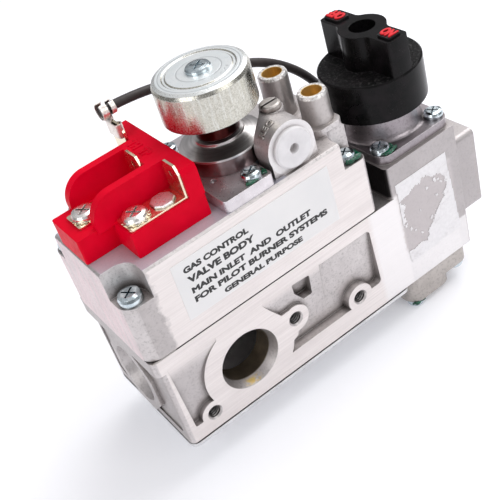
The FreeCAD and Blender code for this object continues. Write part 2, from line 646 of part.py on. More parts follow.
def safety_valve():
    """Disc that closes the safety seat from below, its rod and the magnet's armature plate."""
    return turned(COCK_X, COCK_Y, ((0, 8.6), (4.0, 8.6), (4.0, 10.0), (1.5, 10.4), (1.5, 16.9),
                                   (6.6, 17.4), (7.6, 18.2), (7.6, 20.0), (0, 20.0)))


def safety_spring():
    return spring(COCK_X, COCK_Y, 4.3, 17.0, 5.2, 0.4, 5)


def safety_magnet():
    return turned(COCK_X, COCK_Y, ((0, -5.0), (7.0, -5.0), (7.0, 3.6), (6.3, 4.3), (0, 4.3)))


# ---- terminal block -------------------------------------------------------------------------------
def terminal_places():
    """One (screw x, rivet x, strip start x, wall x, tab top z, y0, y1) per bay."""
    return ((14.6, 23.6, 10.4, 29.5, 86.2, 6.1, 14.6),
            (5.6, 16.5, 1.4, 25.4, 86.2, 20.4, 29.2),
            (14.6, 23.6, 10.4, 29.5, 89.4, 35.2, 43.7))


def fin(y0, y1):
    """Barrier fin with a rounded free end."""
    start, end = 4.6, 30.0
    outline = ((start, TB_Z1 - 1), (end, TB_Z1 - 1), (end, TB_TOP), (start, TB_TOP))
    return prism_y(outline, (0, 0, 0, 7.8), y0, y1)


def terminal_block():
    """Moulded block: stepped base, thick back wall and two barrier fins."""
    (a0, a1), (b0, b1), (c0, c1) = BAYS
    base = prism(((9.8, a0), (34.5, a0), (34.5, c1), (9.8, c1), (9.8, b1 + 2), (-1.8, b1 + 2),
                  (-1.8, a1 + 0.9), (9.8, a1 + 0.9)), (0.5, 0.8, 0.8, 0.5, 0.3, 0.8, 0.8, 0.3),
                 HEAD_Z1, TB_Z1)
    wall = prism_x(((a0, TB_Z1 - 1), (c1, TB_Z1 - 1), (c1, TB_TOP - 1.6), (c1 - 0.6, TB_TOP),
                    (a0 + 0.6, TB_TOP), (a0, TB_TOP - 1.6)), 0, 29.5, 34.5)
    thick = box(25.4, 30, a1 + 1, b1 + 1, TB_Z1 - 1, TB_TOP)
    fins = [fin(a1, b0), fin(b1, c0)]
    block = joined(base, wall, thick, *fins)
    holes = []
    for screw_x, rivet_x, _, _, _, y0, y1 in terminal_places():
        middle = (y0 + y1) / 2
        holes.append(post(screw_x, middle, 69, TB_Z1 + 1, 1.7 + RUN))
        holes.append(post(rivet_x, middle, 71, TB_Z1 + 1, 1.5))
    return carved(block, *holes)


def terminal(screw_x, rivet_x, start, wall_x, top, y0, y1):
    """Brass strip along a bay's floor, bent up against the wall into a push-on tab."""
    strip = slab(start, wall_x, y0, y1, TB_Z1, TB_Z1 + 0.8, (0.8, 0, 0, 0.8))
    tab = prism_x(((y0, TB_Z1), (y1, TB_Z1), (y1, top - 2.5), (y1 - 1.6, top), (y0 + 1.6, top),
                   (y0, top - 2.5)), 0, wall_x - 0.8, wall_x)
    middle = (y0 + y1) / 2
    holes = [post(screw_x, middle, 70, 80, 1.7 + RUN), post(rivet_x, middle, 70, 80, 1.5)]
    holes.append(bar_x(middle, top - 3.4, wall_x - 3, wall_x + 3, 0.9))
    return carved(joined(strip, tab), *holes)


def terminal_screw(place):
    screw_x, _, _, _, _, y0, y1 = place
    return pan_screw(screw_x, (y0 + y1) / 2, TB_Z1 + 0.8, 3.8, 2.2, 1.7, 6.0)


def terminal_rivets():
    """Rivets with flat eight-sided heads."""
    rivets = []
    for _, rivet_x, _, _, _, y0, y1 in terminal_places():
        middle = (y0 + y1) / 2
        angles = [math.pi * (i + 0.5) / 4 for i in range(8)]
        corners = [(rivet_x + 3.8 * math.cos(a), middle + 3.8 * math.sin(a)) for a in angles]
        head = chamfer_top(prism(corners, 0, TB_Z1 + 0.8, TB_Z1 + 1.6), 0.3)
        rivets.append(head.fuse(post(rivet_x, middle, 71.2, TB_Z1 + 0.8, 1.5)))
    return rivets


# ---- lead -----------------------------------------------------------------------------------------
LEAD_R = 1.5
# from the flag connector over the back of the operator and down into the gland behind the cock
LEAD_ROUTE = ((30.6, 40.0, 94.0), (39.5, 40.4, 93.3), (55.0, 40.8, 89.4), (74.0, 41.0, 84.8),
              (87.0, 41.0, 78.4), (98.0, 41.3, 68.0), (105.0, 41.9, 55.5), (108.0, 42.0, 43.6))


def lead_path():
    """Straight runs joined by tangent arcs, each as large as its two runs allow."""
    points = [V(*p) for p in LEAD_ROUTE]
    edges = []
    radii = []
    here = points[0]
    for before, corner, after in zip(points, points[1:], points[2:]):
        back = (before - corner)
        on = (after - corner)
        turn = math.pi - back.getAngle(on)
        reach = 0.45 * min(back.Length, on.Length)
        radius = reach / math.tan(turn / 2)
        back.normalize()
        on.normalize()
        start = corner + back * reach
        end = corner + on * reach
        middle = (back + on).normalize()
        nearest = corner + middle * (radius / math.cos(turn / 2) - radius)
        edges.append(Part.LineSegment(here, start).toShape())
        edges.append(Part.Arc(start, nearest, end).toShape())
        radii.append(radius)
        here = end
    edges.append(Part.LineSegment(here, points[-1]).toShape())
    return Part.Wire(edges), radii


def lead():
    path, radii = lead_path()
    start = V(*LEAD_ROUTE[0])
    ring = Part.Wire([Part.Circle(start, V(*LEAD_ROUTE[1]) - start, LEAD_R).toShape()])
    tube = path.makePipeShell([ring], True, False)
    section = math.pi * LEAD_R ** 2
    print("lead length %.1f radii %s volume ratio %.4f" % (
        path.Length, ["%.0f" % r for r in radii], tube.Volume / (section * path.Length)))
    return tube


def lead_connector():
    """Flag connector: crimp barrel round the lead's end, neck and a receptacle round the tab."""
    x, y, z = LEAD_ROUTE[0]
    barrel = bar_x(y, z, x - 4.6, x - 0.3, 2.3)
    _, _, _, wall_x, top, y0, y1 = terminal_places()[2]
    middle = (y0 + y1) / 2
    sleeve = box(wall_x - 2.0, wall_x + 1.2, middle - 3.6, middle + 3.6, TB_TOP + 0.4, top + 0.6)
    slot = box(wall_x - 0.85, wall_x + 0.05, middle - 4.3, middle + 4.3, TB_TOP - 1, top)
    neck = box(wall_x - 1.4, wall_x + 0.6, middle - 1.6, middle + 1.6, top + 0.2, z - 1.6)
    return carved(joined(barrel, sleeve, neck), slot, bar_x(y, z, x - 5, x - 0.9, 1.4))


def lead_gland():
    """Hexagonal gland behind the tower that the lead goes down into."""
    x, y = 108.0, 42.0
    flats = [(x + 4.2 * math.cos(math.radians(60 * i)), y + 4.2 * math.sin(math.radians(60 * i)))
             for i in range(6)]
    nut = prism(flats, 0.3, SPLIT_Z + 1.5, SPLIT_Z + 5.0)
    collar = post(x, y, SPLIT_Z + 5.0, LEAD_ROUTE[-1][2] - 0.5, 2.6)
    spigot = post(x, y, SPLIT_Z - 4, SPLIT_Z + 1.5, 1.8)
    return joined(nut, collar, spigot)


# ---- labels ---------------------------------------------------------------------------------------
def front_label():
    return slab(14.6, 71.4, -0.15, 0, 43.4, 63.4, 0)


def paper_sticker():
    return slab(94.6, 118.6, -0.15, 0, 8.0, 46.0, 0)


# ---- all nodes ------------------------------------------------------------------------------------
def nodes():
    rear, front = NIPPLES
    places = terminal_places()
    return {
        "lower_body": lower_body(), "bottom_plate": bottom_plate(), "bottom_gasket": bottom_gasket(),
        "bottom_screws": bottom_screws(), "bottom_cover": bottom_cover(), "cover_screws": cover_screws(),
        "inlet_screen": inlet_screen(), "main_diaphragm": main_diaphragm(), "main_valve": main_valve(),
        "main_valve_plate": main_valve_plate(), "main_valve_spring": main_valve_spring(),
        "head_casting": head_casting(), "head_screws": head_screws(),
        "nipple_screw_rear": nipple_screw(*rear[:3]), "nipple_screw_front": nipple_screw(*front[:3]),
        "regulator_cap": regulator_cap(), "regulator_adjuster": regulator_adjuster(),
        "regulator_spring": regulator_spring(), "regulator_disc": regulator_disc(),
        "vent_screw": vent_screw(), "operator_base": operator_base(),
        "operator_base_screws": operator_base_screws(), "operator_neck": operator_neck(),
        "pole_core": pole_core(), "coil_bobbin": coil_bobbin(), "coil_winding": coil_winding(),
        "coil_can": coil_can(), "can_screw": can_screw(), "armature": armature(),
        "armature_seal": armature_seal(), "armature_spring": armature_spring(),
        "bonnet_gasket": bonnet_gasket(), "bonnet": bonnet(), "bonnet_screws": bonnet_screws(),
        "cock_plug": cock_plug(), "plug_spring": plug_spring(), "cock_stem": cock_stem(),
        "stem_clip": stem_clip(), "knob_screw": knob_screw(), "knob": knob(),
        "knob_spring": knob_spring(), "knob_letter_pads": letter_pads(), "safety_valve": safety_valve(),
        "safety_spring": safety_spring(), "safety_magnet": safety_magnet(),
        "terminal_block": terminal_block(), "terminals": [terminal(*p) for p in places],
        "terminal_screw_1": terminal_screw(places[0]), "terminal_screw_2": terminal_screw(places[1]),
        "terminal_screw_3": terminal_screw(places[2]), "terminal_rivets": terminal_rivets(),
        "lead": lead(), "lead_connector": lead_connector(), "lead_gland": lead_gland(),
        "front_label": front_label(), "paper_sticker": paper_sticker(),
    }


def main():
    os.makedirs("parts", exist_ok=True)
    for name, shape in nodes().items():
        if isinstance(shape, list):
            shape = Part.makeCompound(shape)
        shape.translate(V(PORT_LEAD - INLET_FACE, -INLET_Y, -INLET_Z))
        assert shape.isValid(), name
        assert all(s.isClosed() and s.Volume > 0 for s in shape.Solids) and shape.Solids, name
        shape.exportStep("parts/%s.step" % name)
        print("%-22s solids %d volume %.1f" % (name, len(shape.Solids), shape.Volume))


main()
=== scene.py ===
"""A gas control valve with its knob, coil operator and terminal block.

Lengths named or listed below are millimetres on the valve's bench axes: x from the outlet end of
the body, y back from its machined front face, z up from its underside.
"""
import json
import math

import bmesh
import bpy
from mathutils import Matrix, Vector, noise


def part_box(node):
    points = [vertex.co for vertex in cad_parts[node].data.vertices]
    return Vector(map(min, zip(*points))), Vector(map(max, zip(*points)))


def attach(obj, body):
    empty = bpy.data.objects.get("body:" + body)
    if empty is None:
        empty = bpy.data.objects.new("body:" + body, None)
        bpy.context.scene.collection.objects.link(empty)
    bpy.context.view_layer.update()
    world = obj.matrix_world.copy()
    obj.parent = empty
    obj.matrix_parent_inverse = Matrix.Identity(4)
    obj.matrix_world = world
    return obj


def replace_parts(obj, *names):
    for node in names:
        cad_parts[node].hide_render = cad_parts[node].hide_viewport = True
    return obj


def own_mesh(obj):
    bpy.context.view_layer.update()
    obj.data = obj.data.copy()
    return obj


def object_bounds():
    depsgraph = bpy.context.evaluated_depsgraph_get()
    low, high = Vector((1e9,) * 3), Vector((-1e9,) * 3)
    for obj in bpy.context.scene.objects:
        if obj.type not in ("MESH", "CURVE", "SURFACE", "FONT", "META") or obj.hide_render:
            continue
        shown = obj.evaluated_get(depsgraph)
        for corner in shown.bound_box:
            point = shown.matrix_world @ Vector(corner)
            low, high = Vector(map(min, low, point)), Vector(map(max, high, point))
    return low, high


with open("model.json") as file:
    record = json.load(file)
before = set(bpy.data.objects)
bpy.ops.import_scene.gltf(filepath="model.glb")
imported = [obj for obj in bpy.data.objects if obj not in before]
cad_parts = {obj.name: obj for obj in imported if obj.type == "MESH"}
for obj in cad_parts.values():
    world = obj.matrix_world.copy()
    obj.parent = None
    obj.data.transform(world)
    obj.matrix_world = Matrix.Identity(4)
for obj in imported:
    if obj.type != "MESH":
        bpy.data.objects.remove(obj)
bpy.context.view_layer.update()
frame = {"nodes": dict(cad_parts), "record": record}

BENCH = Vector((-128.5, -18.0, -25.0))      # the bench axes' origin, from the inlet port's
HOUSING = "housing"


def at(x, y, z):
    """A bench point in millimetres as a place in the frame, in metres."""
    return (Vector((x, y, z)) + BENCH) / 1000


# ---- camera ---------------------------------------------------------------------------------------
CAMERA_PLACE = (-0.1790, -0.2149, 0.1932)
CAMERA_FORWARD = (0.330, 0.723, -0.607)
CAMERA_UP = (0.527, 0.393, 0.754)
LENS = 67.74                                # for the sensor width below, in millimetres
SENSOR_WIDTH = 36


def make_camera():
    data = bpy.data.cameras.new("camera")
    data.lens = LENS
    data.sensor_width = SENSOR_WIDTH
    data.clip_start = 0.01
    camera = bpy.data.objects.new("camera", data)
    forward = Vector(CAMERA_FORWARD).normalized()
    right = forward.cross(Vector(CAMERA_UP)).normalized()
    turn = Matrix((right, right.cross(forward), -forward)).transposed().to_4x4()
    camera.matrix_world = Matrix.Translation(CAMERA_PLACE) @ turn
    bpy.context.collection.objects.link(camera)
    bpy.context.scene.camera = camera


make_camera()


# ---- looks ----------------------------------------------------------------------------------------
class Look:
    """A material under construction, with short ways to add textures measured in millimetres."""

    def __init__(self, name, colour, roughness, metallic=0.0, **sockets):
        self.material = bpy.data.materials.new(name)
        self.material.use_nodes = True
        self.tree = self.material.node_tree
        self.shader = self.tree.nodes["Principled BSDF"]
        self.shader.inputs["Base Color"].default_value = (*colour, 1)
        self.shader.inputs["Roughness"].default_value = roughness
        self.shader.inputs["Metallic"].default_value = metallic
        for socket, value in sockets.items():
            self.shader.inputs[socket.replace("_", " ")].default_value = value
        coordinates = self.node("ShaderNodeTexCoord")
        self.place = self.vector("SCALE", coordinates.outputs["Object"], scale=1000)
        self.geometry = self.node("ShaderNodeNewGeometry")
        self.height = None

    def node(self, kind, **settings):
        made = self.tree.nodes.new(kind)
        for key, value in settings.items():
            setattr(made, key, value)
        return made

    def feed(self, socket, value):
        """Links an output to a socket, or sets the socket if value is a number or a colour."""
        if isinstance(value, bpy.types.NodeSocket):
            self.tree.links.new(value, socket)
        elif isinstance(value, tuple) and len(value) == 3 and socket.type == "RGBA":
            socket.default_value = (*value, 1)
        else:
            socket.default_value = value

    def vector(self, operation, a, b=None, scale=None):
        made = self.node("ShaderNodeVectorMath", operation=operation)
        self.feed(made.inputs[0], a)
        if b is not None:
            self.feed(made.inputs[1], b)
        if scale is not None:
            made.inputs["Scale"].default_value = scale
        return made.outputs["Value" if operation in ("DOT_PRODUCT", "LENGTH") else "Vector"]

    def calc(self, operation, a, b=0.0):
        """One step of arithmetic, such as ADD or ABSOLUTE."""
        made = self.node("ShaderNodeMath", operation=operation)
        self.feed(made.inputs[0], a)
        self.feed(made.inputs[1], b)
        return made.outputs[0]

    def product(self, *values):
        total = values[0]
        for value in values[1:]:
            total = self.calc("MULTIPLY", total, value)
        return total

    def grain(self, size, stretch=(1, 1, 1), detail=3.0, roughness=0.5, distortion=0.0):
        """Noise whose features are about size millimetres across, longer where stretch is large."""
        inverse = tuple(1 / s for s in stretch)
        made = self.node("ShaderNodeTexNoise")
        made.inputs["Scale"].default_value = 1 / size
        made.inputs["Detail"].default_value = detail
        made.inputs["Roughness"].default_value = roughness
        made.inputs["Distortion"].default_value = distortion
        self.feed(made.inputs["Vector"], self.vector("MULTIPLY", self.place, inverse))
        return made.outputs["Fac"]

    def span(self, value, low, high, out_low=0.0, out_high=1.0):
        """value mapped from low..high to out_low..out_high, held at both ends."""
        made = self.node("ShaderNodeMapRange")
        for socket, number in zip(made.inputs[1:5], (low, high, out_low, out_high)):
            socket.default_value = number
        self.feed(made.inputs[0], value)
        return made.outputs[0]

    def blend(self, amount, a, b):
        made = self.node("ShaderNodeMix", data_type="RGBA")
        self.feed(made.inputs["Factor"], amount)
        self.feed(made.inputs[6], a)
        self.feed(made.inputs[7], b)
        return made.outputs[2]

    def cover(self, skin, colour, *masks):
        """skin with a colour laid over it, as strongly as the product of the masks."""
        return self.blend(self.product(*masks), skin, colour)

    def along(self, axis):
        """The place along an axis, in millimetres on the bench."""
        parts = self.node("ShaderNodeSeparateXYZ")
        self.feed(parts.inputs[0], self.place)
        index = "xyz".index(axis)
        return self.calc("SUBTRACT", parts.outputs[index], BENCH[index])

    def ragged(self, axis, reach):
        """The place along an axis, pushed about by noise that reaches some millimetres."""
        return self.calc("ADD", self.along(axis), self.product(self.grain(2.5, detail=4), reach))

    def zone(self, soft=0.4, **limits):
        """1 inside limits such as x=(low, high), in bench millimetres, and 0 outside them."""
        mask = None
        for axis, (low, high) in limits.items():
            half = (high - low) / 2
            off = self.calc("ABSOLUTE", self.calc("SUBTRACT", self.along(axis), low + half))
            inside = self.span(off, half - soft, half + soft, 1.0, 0.0)
            mask = inside if mask is None else self.calc("MULTIPLY", mask, inside)
        return mask

    def from_line(self, point, axis):
        """The distance from the line through a bench point along an axis."""
        across = tuple(float(a != axis) for a in "xyz")
        off = self.vector("SUBTRACT", self.place, tuple(Vector(point) + BENCH))
        return self.vector("LENGTH", self.vector("MULTIPLY", off, across))

    def within(self, point, axis, radius, soft=0.1):
        """1 nearer than radius to a line, falling to 0 over soft millimetres on either side of it."""
        return self.span(self.from_line(point, axis), radius - soft, radius + soft, 1.0, 0.0)

    def ridge(self, value, centre, width):
        """1 where value is at the centre, falling to 0 a width away."""
        off = self.calc("ABSOLUTE", self.calc("SUBTRACT", value, centre))
        return self.span(off, 0.0, width, 1.0, 0.0)

    def facing(self, direction, low=0.93, high=0.98):
        """1 where the surface faces a direction."""
        transform = self.node("ShaderNodeVectorTransform", vector_type="NORMAL",
                              convert_from="WORLD", convert_to="OBJECT")
        self.feed(transform.inputs[0], self.geometry.outputs["True Normal"])
        return self.span(self.vector("DOT_PRODUCT", transform.outputs[0], direction), low, high)

    def raise_by(self, value, millimetres):
        """Adds relief: value times millimetres of height."""
        step = self.calc("MULTIPLY", value, millimetres)
        self.height = step if self.height is None else self.calc("ADD", self.height, step)

    def colour(self, value):
        self.feed(self.shader.inputs["Base Color"], value)

    def roughness(self, value):
        self.feed(self.shader.inputs["Roughness"], value)

    def edge_highlight(self, radius, full=0.9):
        """A mask that is 1 on edges, within about radius millimetres, for painting highlights there."""
        bevel = self.node("ShaderNodeBevel", samples=4)
        bevel.inputs["Radius"].default_value = radius / 1000
        even = self.vector("DOT_PRODUCT", bevel.outputs[0], self.geometry.outputs["Normal"])
        return self.span(even, 1.0, full)

    def crevice(self, reach, full=0.35):
        """A mask from ambient occlusion that is 1 deep in corners and recesses, where shade falls, for
        painting shade there; reach is in millimetres.
        """
        made = self.node("ShaderNodeAmbientOcclusion", samples=4)
        made.inputs["Distance"].default_value = reach / 1000
        return self.span(made.outputs["AO"], full, 0.95, 1.0, 0.0)

    def done(self, soft_edge=0.0):
        """Finishes the relief, over edges rounded by soft_edge millimetres."""
        bevel = None
        if soft_edge:
            bevel = self.node("ShaderNodeBevel", samples=4)
            bevel.inputs["Radius"].default_value = soft_edge / 1000
        if self.height is not None:
            bump = self.node("ShaderNodeBump")
            bump.inputs["Distance"].default_value = 0.001
            self.feed(bump.inputs["Height"], self.height)
            if bevel:
                self.feed(bump.inputs["Normal"], bevel.outputs[0])
            self.feed(self.shader.inputs["Normal"], bump.outputs[0])
        elif bevel:
            self.feed(self.shader.inputs["Normal"], bevel.outputs[0])
        return self.material


# ---- cast aluminium -------------------------------------------------------------------------------
FRONT, LEFT, UP = (0, -1, 0), (-1, 0, 0), (0, 0, 1)     # directions that surfaces face
SIDE_PORT = (27.9, 0.0, 16.2)
OUTLET_PORT = (0.0, 25.5, 15.5)
INLET_PORT = (132.0, 18.0, 25.0)
REGULATOR = (62.9, 2.0, 74.5)
NIPPLES = ((77.1, 26.7, 84.1), (80.8, 13.2, 79.9))      # the middles of their rims
TAPS = ((10.8, 6.2), (47.0, 18.9), (71.9, 9.6))         # x and z of the front face's tapped holes
PORT_RADIUS = 9.6
TAP_RADIUS = 2.25
BOSS_RADIUS = 8.45
NIPPLE_RADIUS = 5.5
TUBE_RADIUS = 3.3

# Regions of the castings, as limits on the bench axes.
FRONT_SKIN = {"y": (-1, 0.35)}
LOWER_BODY = {"z": (-2, 37.5)}
COCK_TOWER = {"x": (84, 130), "z": (38, 60)}
INLET_BLOCK = {"x": (117.5, 140), "z": (-5, 60)}
TOWER_FLANK = {"x": (90, 94), "z": (37.6, 60)}
LEFT_POCKET = {"x": (2, 20), "y": (0.4, 8), "z": (3, 33)}
STICKER_WIDTH = {"x": (82, 125)}
BARE_METAL = {"x": (94, 118), "z": (10, 60)}
LEFT_END = {"x": (-3, 0)}
DECK = {"x": (-3, 58), "z": (66, 69)}
PORT_BORES = ((SIDE_PORT, "y", {"y": (3.3, 16)}), (OUTLET_PORT, "x", {"x": (2.7, 16)}),
              (INLET_PORT, "x", {"x": (100, 128.4)}))
SEALANT = {"x": (24.5, 29.5), "z": (4, 9)}
SEALANT_DEPTH = {"y": (0.4, 3.4)}
TAP_DEPTH = {"y": (0.6, 12)}
BOSS_FACE = {"y": (1.5, 2.5)}

# Places on one bench axis where a region fades in or out.
MILLED_END = (94, 95)
RESIDUE_TOP = (13.5, 14.5)
RESIDUE_RIGHT = (95, 96)
COLUMN_EDGE = (9.4, 11.0)
SHANK_FOOT = 68.5

CAST_GREY = (0.5, 0.48, 0.48)
# Colours of painted light: a painted highlight on edges and painted shade in corners and recesses.
EDGE_HIGHLIGHT = (0.86, 0.84, 0.83)
CREVICE_SHADE = (0.10, 0.078, 0.07)


def cast_skin(look, dark, light):
    """Colour, roughness and relief of a die-cast skin."""
    mottle = look.grain(11.0, detail=6, roughness=0.62)
    fine = look.grain(0.8, detail=4, roughness=0.65)
    skin = look.blend(look.span(mottle, 0.2, 0.75), dark, light)
    skin = look.cover(skin, tuple(0.6 * part for part in dark), look.span(fine, 0.52, 0.7), 0.55)
    # Painted shade: corners and recesses darkened.
    skin = look.cover(skin, CREVICE_SHADE, look.crevice(2.0, 0.4), 0.85)
    # Painted highlight: edges lightened.
    skin = look.cover(skin, EDGE_HIGHLIGHT, look.edge_highlight(0.3), 0.5)
    look.raise_by(fine, 0.07)
    look.raise_by(mottle, 0.08)
    return skin, look.span(fine, 0.3, 0.7, 0.34, 0.5)


def machined(look, skin, mask):
    """A milled face with fine cutter lines along x, where mask is 1."""
    lines = look.grain(0.28, stretch=(70, 1, 1), detail=3)
    sweep = look.grain(4.0, stretch=(5, 1, 1), detail=3)
    metal = look.blend(look.span(lines, 0.3, 0.7), (0.74, 0.685, 0.665), (0.85, 0.795, 0.775))
    metal = look.blend(look.span(sweep, 0.4, 0.7, 0.0, 0.4), metal, (0.67, 0.615, 0.60))
    look.raise_by(look.product(mask, lines), 0.006)
    return look.blend(mask, skin, metal)


def body_sticker_place(look, skin, face):
    """Bare metal where the sticker has torn, and the pale residue round it."""
    skin = look.cover(skin, (0.50, 0.46, 0.46), face, look.zone(1.0, **BARE_METAL), 0.8)
    low = look.span(look.ragged("z", 3.0), *RESIDUE_TOP, 1.0, 0.0)
    near = look.span(look.ragged("x", 3.0), *RESIDUE_RIGHT, 1.0, 0.0)
    residue = look.product(look.calc("MAXIMUM", low, near), look.zone(1.0, **STICKER_WIDTH))
    return look.cover(skin, (0.87, 0.85, 0.85), face, residue, 0.75)


def body_holes(look, skin):
    """Port bores painted dark brown and tapped holes painted near black, as painted shade inside them, and a
    dab of sealant in the side port.
    """
    for point, axis, depth in PORT_BORES:
        # Painted shade inside the port bores, dark brown.
        bore_shade = look.blend(look.grain(3.0, detail=4), (0.09, 0.070, 0.050), (0.30, 0.24, 0.17))
        skin = look.cover(skin, bore_shade, look.within(point, axis, PORT_RADIUS), look.zone(0.2, **depth))
    mouth = look.span(look.from_line(SIDE_PORT, "y"), 9.3, 9.7)
    dab = look.product(look.zone(1.2, **SEALANT), look.zone(0.2, **SEALANT_DEPTH))
    skin = look.cover(skin, (0.75, 0.55, 0.20), mouth, dab, look.span(look.grain(1.5), 0.4, 0.55))
    # Painted shade: the tapped holes painted near black inside.
    for x, z in TAPS:
        hole = look.within((x, 0, z), "y", TAP_RADIUS, 0.05)
        skin = look.cover(skin, (0.02, 0.015, 0.012), hole, look.zone(0.1, **TAP_DEPTH))
    return skin


def cast_body():
    look = Look("cast_body", CAST_GREY, 0.4, metallic=0.8)
    skin, rough = cast_skin(look, (0.49, 0.455, 0.45), (0.71, 0.67, 0.66))
    # Painted shade: faces turned to the left darkened.
    skin = look.cover(skin, (0.33, 0.30, 0.29), look.facing(LEFT, 0.8, 0.95), 0.5)
    face = look.product(look.facing(FRONT), look.zone(0.2, **FRONT_SKIN), look.zone(0.8, **LOWER_BODY))
    skin = machined(look, skin, look.product(face, look.span(look.along("x"), *MILLED_END, 1.0, 0.0)))
    tower = look.calc("MAXIMUM", look.zone(1.0, **COCK_TOWER), look.zone(0.5, **INLET_BLOCK))
    skin = look.cover(skin, (0.40, 0.37, 0.37), tower, 0.7)
    skin = look.cover(skin, (0.42, 0.39, 0.39), look.zone(0.3, **LEFT_POCKET), 0.4)
    skin = body_sticker_place(look, skin, face)
    skin = body_holes(look, skin)
    # Painted shadow: the tower's left flank, in the gap beside the head, painted near black.
    flank_shadow = look.product(look.facing(LEFT, 0.3, 0.7), look.zone(0.6, **TOWER_FLANK))
    look.colour(look.cover(skin, (0.010, 0.008, 0.008), flank_shadow))
    look.roughness(look.calc("SUBTRACT", rough, look.product(face, 0.03)))
    return look.done(0.25)


def head_nipples(look, skin):
    """Darker shanks with bright worn rims, and brass tubes inside."""
    for x, y, top in NIPPLES:
        round_bar = look.within((x, y, top), "z", NIPPLE_RADIUS)
        skin = look.cover(skin, (0.50, 0.46, 0.44), look.zone(1.0, z=(SHANK_FOOT, top)), round_bar, 0.6)
        rim = look.product(look.zone(0.25, z=(top - 0.9, top + 1)), round_bar)
        skin = look.cover(skin, (0.90, 0.88, 0.86), rim, look.span(look.grain(0.9, detail=4), 0.42, 0.5))
        tube = look.product(look.within((x, y, top), "z", TUBE_RADIUS, 0.05), look.zone(0.1, z=(60, top + 1)))
        gold = look.blend(look.grain(1.0, stretch=(1, 1, 6)), (0.50, 0.31, 0.07), (0.90, 0.66, 0.27))
        skin = look.blend(tube, skin, gold)
    return skin


def cast_head():
    look = Look("cast_head", CAST_GREY, 0.4, metallic=0.8)
    skin, rough = cast_skin(look, (0.50, 0.465, 0.46), (0.74, 0.70, 0.69))
    front = look.product(look.facing(FRONT), look.zone(0.2, **FRONT_SKIN))
    skin = look.cover(skin, (0.34, 0.31, 0.305), front, 0.45)
    face = look.product(front, look.span(look.ragged("x", 5.0), *COLUMN_EDGE))
    skin = machined(look, skin, face)
    # Painted highlight: the left end face streaked a bright pink-white.
    scuffs = look.span(look.grain(2.0, stretch=(1, 1, 6), detail=4), 0.3, 0.7, 0.15, 0.55)
    skin = look.cover(skin, (0.92, 0.66, 0.69), look.facing(LEFT), look.zone(0.3, **LEFT_END), scuffs)
    # Painted reflection: the top deck tinted blue-lilac and made less metallic.
    deck = look.product(look.facing(UP), look.zone(0.5, **DECK))
    skin = look.cover(skin, (0.46, 0.47, 0.56), deck, 0.7)
    look.feed(look.shader.inputs["Metallic"], look.calc("SUBTRACT", 0.8, look.product(deck, 0.5)))
    boss = look.product(look.within(REGULATOR, "y", BOSS_RADIUS, 0.15), look.zone(0.2, **BOSS_FACE))
    skin = look.cover(skin, (0.86, 0.84, 0.84), look.facing(FRONT), boss, 0.7)
    look.colour(head_nipples(look, skin))
    look.roughness(look.calc("SUBTRACT", rough, look.product(face, 0.03)))
    return look.done(0.25)


def cast_plain(name, dark, light, smooth):
    look = Look(name, light, 0.4, metallic=0.9)
    skin, rough = cast_skin(look, dark, light)
    look.colour(skin)
    look.roughness(look.calc("SUBTRACT", rough, smooth))
    return look.done(0.3)


# ---- other metals ---------------------------------------------------------------------------------
CAN_AXIS = (51.9, 22, 100)
CAN_RINGS = ((6.7, 0.35), (12.2, 0.3))                  # radius and half width of the stamped rings


def zinc_can():
    """Drawn zinc-plated can: flaky sides with upright streaks, a spun top with stamped rings."""
    look = Look("zinc_can", (0.7, 0.7, 0.66), 0.25, metallic=1.0)
    top = look.facing(UP, 0.8, 0.97)
    streaks = look.grain(0.7, stretch=(1, 1, 9), detail=4, roughness=0.6)
    flakes = look.grain(0.45, detail=5, roughness=0.75)
    side = look.blend(look.span(flakes, 0.35, 0.65), (0.40, 0.385, 0.33), (0.69, 0.675, 0.61))
    side = look.blend(look.span(streaks, 0.5, 0.75, 0.0, 0.5), side, (0.86, 0.88, 0.86))
    side = look.blend(look.span(look.grain(7.0, detail=4), 0.5, 0.7, 0.0, 0.45), side, (0.45, 0.43, 0.33))
    cloud = look.grain(5.0, detail=5, roughness=0.6)
    cap = look.blend(look.span(cloud, 0.3, 0.7), (0.88, 0.93, 0.94), (0.97, 0.99, 0.99))
    radius = look.from_line(CAN_AXIS, "z")
    rings = look.calc("MAXIMUM", *(look.ridge(radius, *ring) for ring in CAN_RINGS))
    marks = look.product(look.zone(0.2, x=(50, 60), y=(13, 20)), look.ridge(radius, 8.8, 1.2),
                         look.span(look.grain(0.9, stretch=(1, 3, 1), detail=1), 0.55, 0.6))
    cuts = look.product(look.calc("MAXIMUM", rings, marks), top)
    cap = look.cover(cap, (0.30, 0.32, 0.33), cuts, 0.5)
    shell = look.blend(top, side, cap)
    # Painted highlight: edges lightened.
    look.colour(look.cover(shell, (0.90, 0.92, 0.92), look.edge_highlight(0.4), 0.35))
    look.roughness(look.calc("ADD", look.span(flakes, 0.3, 0.7, 0.18, 0.32), look.product(top, 0.08)))
    look.feed(look.shader.inputs["Metallic"], look.calc("SUBTRACT", 1.0, look.product(top, 0.35)))
    look.raise_by(cuts, -0.06)
    look.raise_by(look.product(streaks, look.calc("SUBTRACT", 1.0, top)), 0.05)
    look.raise_by(flakes, 0.025)
    return look.done(0.3)


